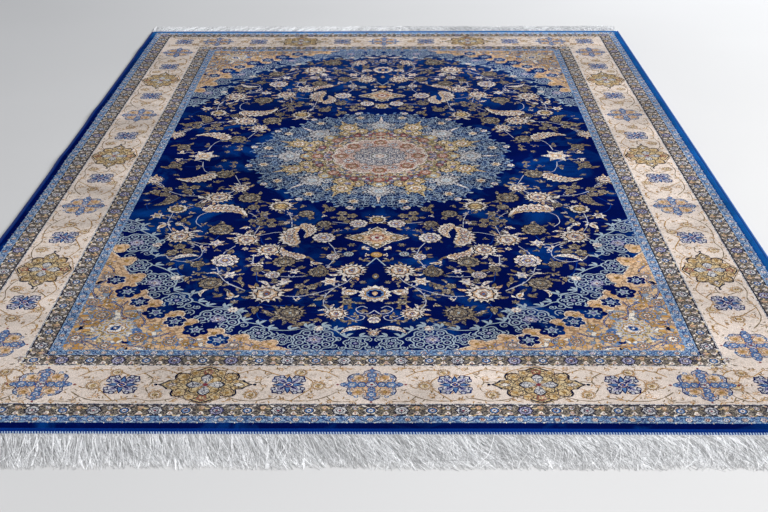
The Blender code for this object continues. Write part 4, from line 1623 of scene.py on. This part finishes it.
def make_fringe(end_name, end, strands, title, from_share, to_share):
    """One stretch of the fringe: fine white warp ends that lie over each other in locks."""
    seed = {"near": 11, "far": 12}[end_name] * 100 + int(from_share * 10)
    chance, lock_chance = random.Random(seed), random.Random(seed + 7)
    places, roots, tips = zip(*LEANS[end_name])
    node = f"fringe_{end_name}"
    low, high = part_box(node)
    front = min(abs(low[1]), abs(high[1])) + ROOTS_OUT
    longest = max(abs(low[1]), abs(high[1])) - front
    half = ROOTS_HALF
    points, faces = [], []
    thickness = sizes().strand_width
    steps = 6 if end < 0 else 4
    # The stray of a lock's roots and tips, its length and the phase of its wave
    locks = [(lock_chance.gauss(0, 1), lock_chance.gauss(0, 1), lock_chance.uniform(0.84, 1.0),
              lock_chance.uniform(0, TURN)) for _ in range(LOCKS + 1)]
    for i in range(strands):
        share = from_share + (to_share - from_share) * (i + chance.random()) / strands
        x = -half + 2 * half * share
        lock = int(share * LOCKS)
        stray_root, stray_tip, lock_length, lock_phase = locks[lock]
        middle = -half + 2 * half * (lock + 0.5) / LOCKS
        # From left to right the ends lie more and more in a tangle
        tangled = max(0.0, min(1.0, x + 0.4))
        root = math.radians(np.interp(x, places, roots) + 3 * stray_root + chance.gauss(0, 11 + 7 * tangled))
        tip = math.radians(np.interp(x, places, tips) + 6 * stray_tip + chance.gauss(0, 16 + 9 * tangled))
        length = longest * lock_length * (1 - abs(chance.gauss(0, 0.09)))
        gather = 0.3 * (middle - x)
        phase = lock_phase + chance.gauss(0, 0.7)
        wave = chance.uniform(0.0006, 0.0022) * (1.0 + 2.5 * tangled)
        # Every sixth is a broad bunch that lies low, so that no floor shows through the mass
        broad = 4.0 if i % 6 == 0 else 1.0
        layer = chance.random() * (0.25 if broad > 1 else 1.0)
        spine = []
        dx = 0.0
        for k in range(steps + 1):
            t = k / steps
            lean = root + (tip - root) * t
            if k:
                dx += math.tan(lean) * length / steps
            drift = dx + gather * t + wave * t * math.sin(phase + 8.0 * t)
            # A strand near a corner has no room to lean out past the side
            room = 0.004 + (half - x if drift > 0 else half + x)
            px = x + room * math.tanh(drift / room)
            py = front - 0.0016 + length * t
            rise = 0.0030 * (1 - t) ** 2 + (0.0006 + 0.0046 * layer * (1 - t ** 3)) * min(1.0, 3 * t + 0.3)
            spine.append((px, end * py, max(thickness * 0.3, rise) + lift(px, py * end)))
        closed_tube(points, faces, strand_rings(spine, thickness * chance.uniform(0.65, 1.0), end, broad))
    add_piece(f"fringe_strands_{end_name}_{title}", points, faces, [warp_material()], node)


def make_floor():
    """A plain pale floor, far wider than the camera sees."""
    mesh = bpy.data.meshes.new("studio_floor")
    reach = 70.0
    mesh.from_pydata([(-reach, -reach, 0), (reach, -reach, 0), (reach, reach, 0), (-reach, reach, 0)], [],
                     [(0, 1, 2, 3)])
    mesh.materials.append(floor_material())
    add_object("studio_floor", mesh)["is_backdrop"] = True


def add_light(name, place, aim, width, height, power, warmth):
    """A soft rectangular studio light aimed at a point."""
    data = bpy.data.lights.new(name, "AREA")
    data.shape = "RECTANGLE"
    data.size, data.size_y = width, height
    data.energy = power
    data.color = warmth
    light = add_object(name, data)
    light.location = place
    light.rotation_euler = (Vector(aim) - Vector(place)).to_track_quat("-Z", "Y").to_euler()


def make_camera():
    """A camera at the photograph's viewing angle: place, slope, heading and roll."""
    data = bpy.data.cameras.new("rug_camera")
    data.lens = 53.907
    data.sensor_width = 36.0
    data.sensor_fit = "HORIZONTAL"
    pitch, yaw, roll = (math.radians(angle) for angle in (25.882, -0.687, -0.279))
    forward = Vector((math.sin(yaw) * math.cos(pitch), math.cos(yaw) * math.cos(pitch), -math.sin(pitch)))
    right = forward.cross(Vector((0, 0, 1))).normalized()
    up = right.cross(forward)
    across = right * math.cos(roll) + up * math.sin(roll)
    upward = up * math.cos(roll) - right * math.sin(roll)
    camera = add_object("rug_camera", data)
    turned = Matrix((across, upward, -forward)).transposed().to_4x4()
    camera.matrix_world = Matrix.Translation((0.0513, -3.3606, 1.2928)) @ turned
    bpy.context.scene.camera = camera


def make_stage():
    """The floor, three soft lights, the air around and the camera."""
    make_floor()
    add_light("window_softbox", (2.8, 4.8, 2.8), (0.2, 0.3, 0), 4.0, 2.4, 215.0, (0.95, 0.97, 1.0))
    add_light("key_softbox", (3.6, -1.0, 3.2), (0.5, -0.3, 0), 2.6, 2.6, 158.0, (1.0, 0.985, 0.97))
    add_light("front_fill", (0.2, -4.4, 3.0), (0, -1.3, 0), 3.5, 2.0, 88.0, (1.0, 0.99, 0.98))
    world = bpy.data.worlds.new("studio_air")
    bpy.context.scene.world = world
    world.use_nodes = True
    background = world.node_tree.nodes["Background"]
    background.inputs["Color"].default_value = (0.86, 0.89, 0.95, 1.0)
    background.inputs["Strength"].default_value = 0.325
    bpy.context.scene.view_settings.view_transform = "Standard"
    make_camera()


class RUG_OT_foundation(bpy.types.Operator):
    """Make the woven foundation under the pile"""
    bl_idname = "rug.foundation"
    bl_label = "Foundation"

    def execute(self, context):
        make_foundation()
        return {"FINISHED"}


class RUG_OT_field(bpy.types.Operator):
    """Weave the field with its medallion, flowers and corners"""
    bl_idname = "rug.field"
    bl_label = "Field"

    def execute(self, context):
        CHART.clear()
        for lay_part in (lay_sprays, lay_vines, lay_flowers, lay_corner, lay_axis, lay_medallion):
            lay_part()
        pile_region("field", 0j, drawn_in(BAND_EDGES["field"]))
        return {"FINISHED"}


class RUG_OT_borders(bpy.types.Operator):
    """Weave the borders and guards round the field"""
    bl_idname = "rug.borders"
    bl_label = "Borders"

    def execute(self, context):
        CHART.clear()
        lay_borders()
        corner = drawn_in(BAND_EDGES["field"])
        pile_region("border_end", complex(0, corner.imag), PILE_EDGE)
        pile_region("border_side", complex(corner.real, 0), complex(PILE_EDGE.real, corner.imag))
        return {"FINISHED"}


class RUG_OT_selvedges(bpy.types.Operator):
    """Overcast the two long sides"""
    bl_idname = "rug.selvedges"
    bl_label = "Side bindings"

    def execute(self, context):
        for side_name, side in SIDES:
            make_selvedge(side_name, side)
        return {"FINISHED"}


class RUG_OT_headings(bpy.types.Operator):
    """Stitch the flat headings across both ends"""
    bl_idname = "rug.headings"
    bl_label = "Headings"

    def execute(self, context):
        for end_name, end in ENDS:
            make_heading(end_name, end)
        return {"FINISHED"}


class RUG_OT_fringes(bpy.types.Operator):
    """Lay out the warp ends beyond the headings"""
    bl_idname = "rug.fringes"
    bl_label = "Fringes"

    def execute(self, context):
        for end_name, end in ENDS:
            total = sizes().strands_near if end < 0 else sizes().strands_far
            for title, start, stop in (("left", 0.0, 0.5), ("right", 0.5, 1.0)):
                make_fringe(end_name, end, total // 2, title, start, stop)
        return {"FINISHED"}


class RUG_OT_cloth(bpy.types.Operator):
    bl_idname = "rug.cloth"
    bl_label = "Laid cloth"

    def execute(self, context):
        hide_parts("pile_rug")
        return {"FINISHED"}


class RUG_OT_stage(bpy.types.Operator):
    """Set up the floor, the soft lights and the camera"""
    bl_idname = "rug.stage"
    bl_label = "Stage"

    def execute(self, context):
        make_stage()
        return {"FINISHED"}


OPERATORS = (RUG_OT_foundation, RUG_OT_field, RUG_OT_borders, RUG_OT_selvedges, RUG_OT_headings, RUG_OT_fringes,
             RUG_OT_cloth, RUG_OT_stage)


class RUG_PT_panel(bpy.types.Panel):
    """Sizes, yarn colours and the steps that make the rug"""
    bl_idname = "RUG_PT_panel"
    bl_label = "Persian rug"
    bl_space_type = "VIEW_3D"
    bl_region_type = "UI"
    bl_category = "Rug"

    def draw(self, context):
        layout = self.layout
        for name in RugSizes.__annotations__:
            layout.prop(context.scene.rug_sizes, name)
        for name in YARN_NAMES:
            layout.prop(context.scene.rug_yarns, name)
        for operator in OPERATORS:
            layout.operator(operator.bl_idname)


CLASSES = (RugSizes, YarnColours, *OPERATORS, RUG_PT_panel)


def register():
    for kind in CLASSES:
        bpy.utils.register_class(kind)
    bpy.types.Scene.rug_sizes = bpy.props.PointerProperty(type=RugSizes)
    bpy.types.Scene.rug_yarns = bpy.props.PointerProperty(type=YarnColours)


def unregister():
    del bpy.types.Scene.rug_yarns
    del bpy.types.Scene.rug_sizes
    for kind in reversed(CLASSES):
        bpy.utils.unregister_class(kind)


def main():
    register()
    bpy.ops.rug.foundation()
    bpy.ops.rug.field()
    bpy.ops.rug.borders()
    bpy.ops.rug.selvedges()
    bpy.ops.rug.headings()
    bpy.ops.rug.fringes()
    bpy.ops.rug.cloth()
    bpy.ops.rug.stage()
    boxes = {"cad": CAD_BOUNDS, "visual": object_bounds()}
    {name: [[float(v) for v in corner] for corner in box] for name, box in boxes.items()}


if __name__ == "__main__":
    main()
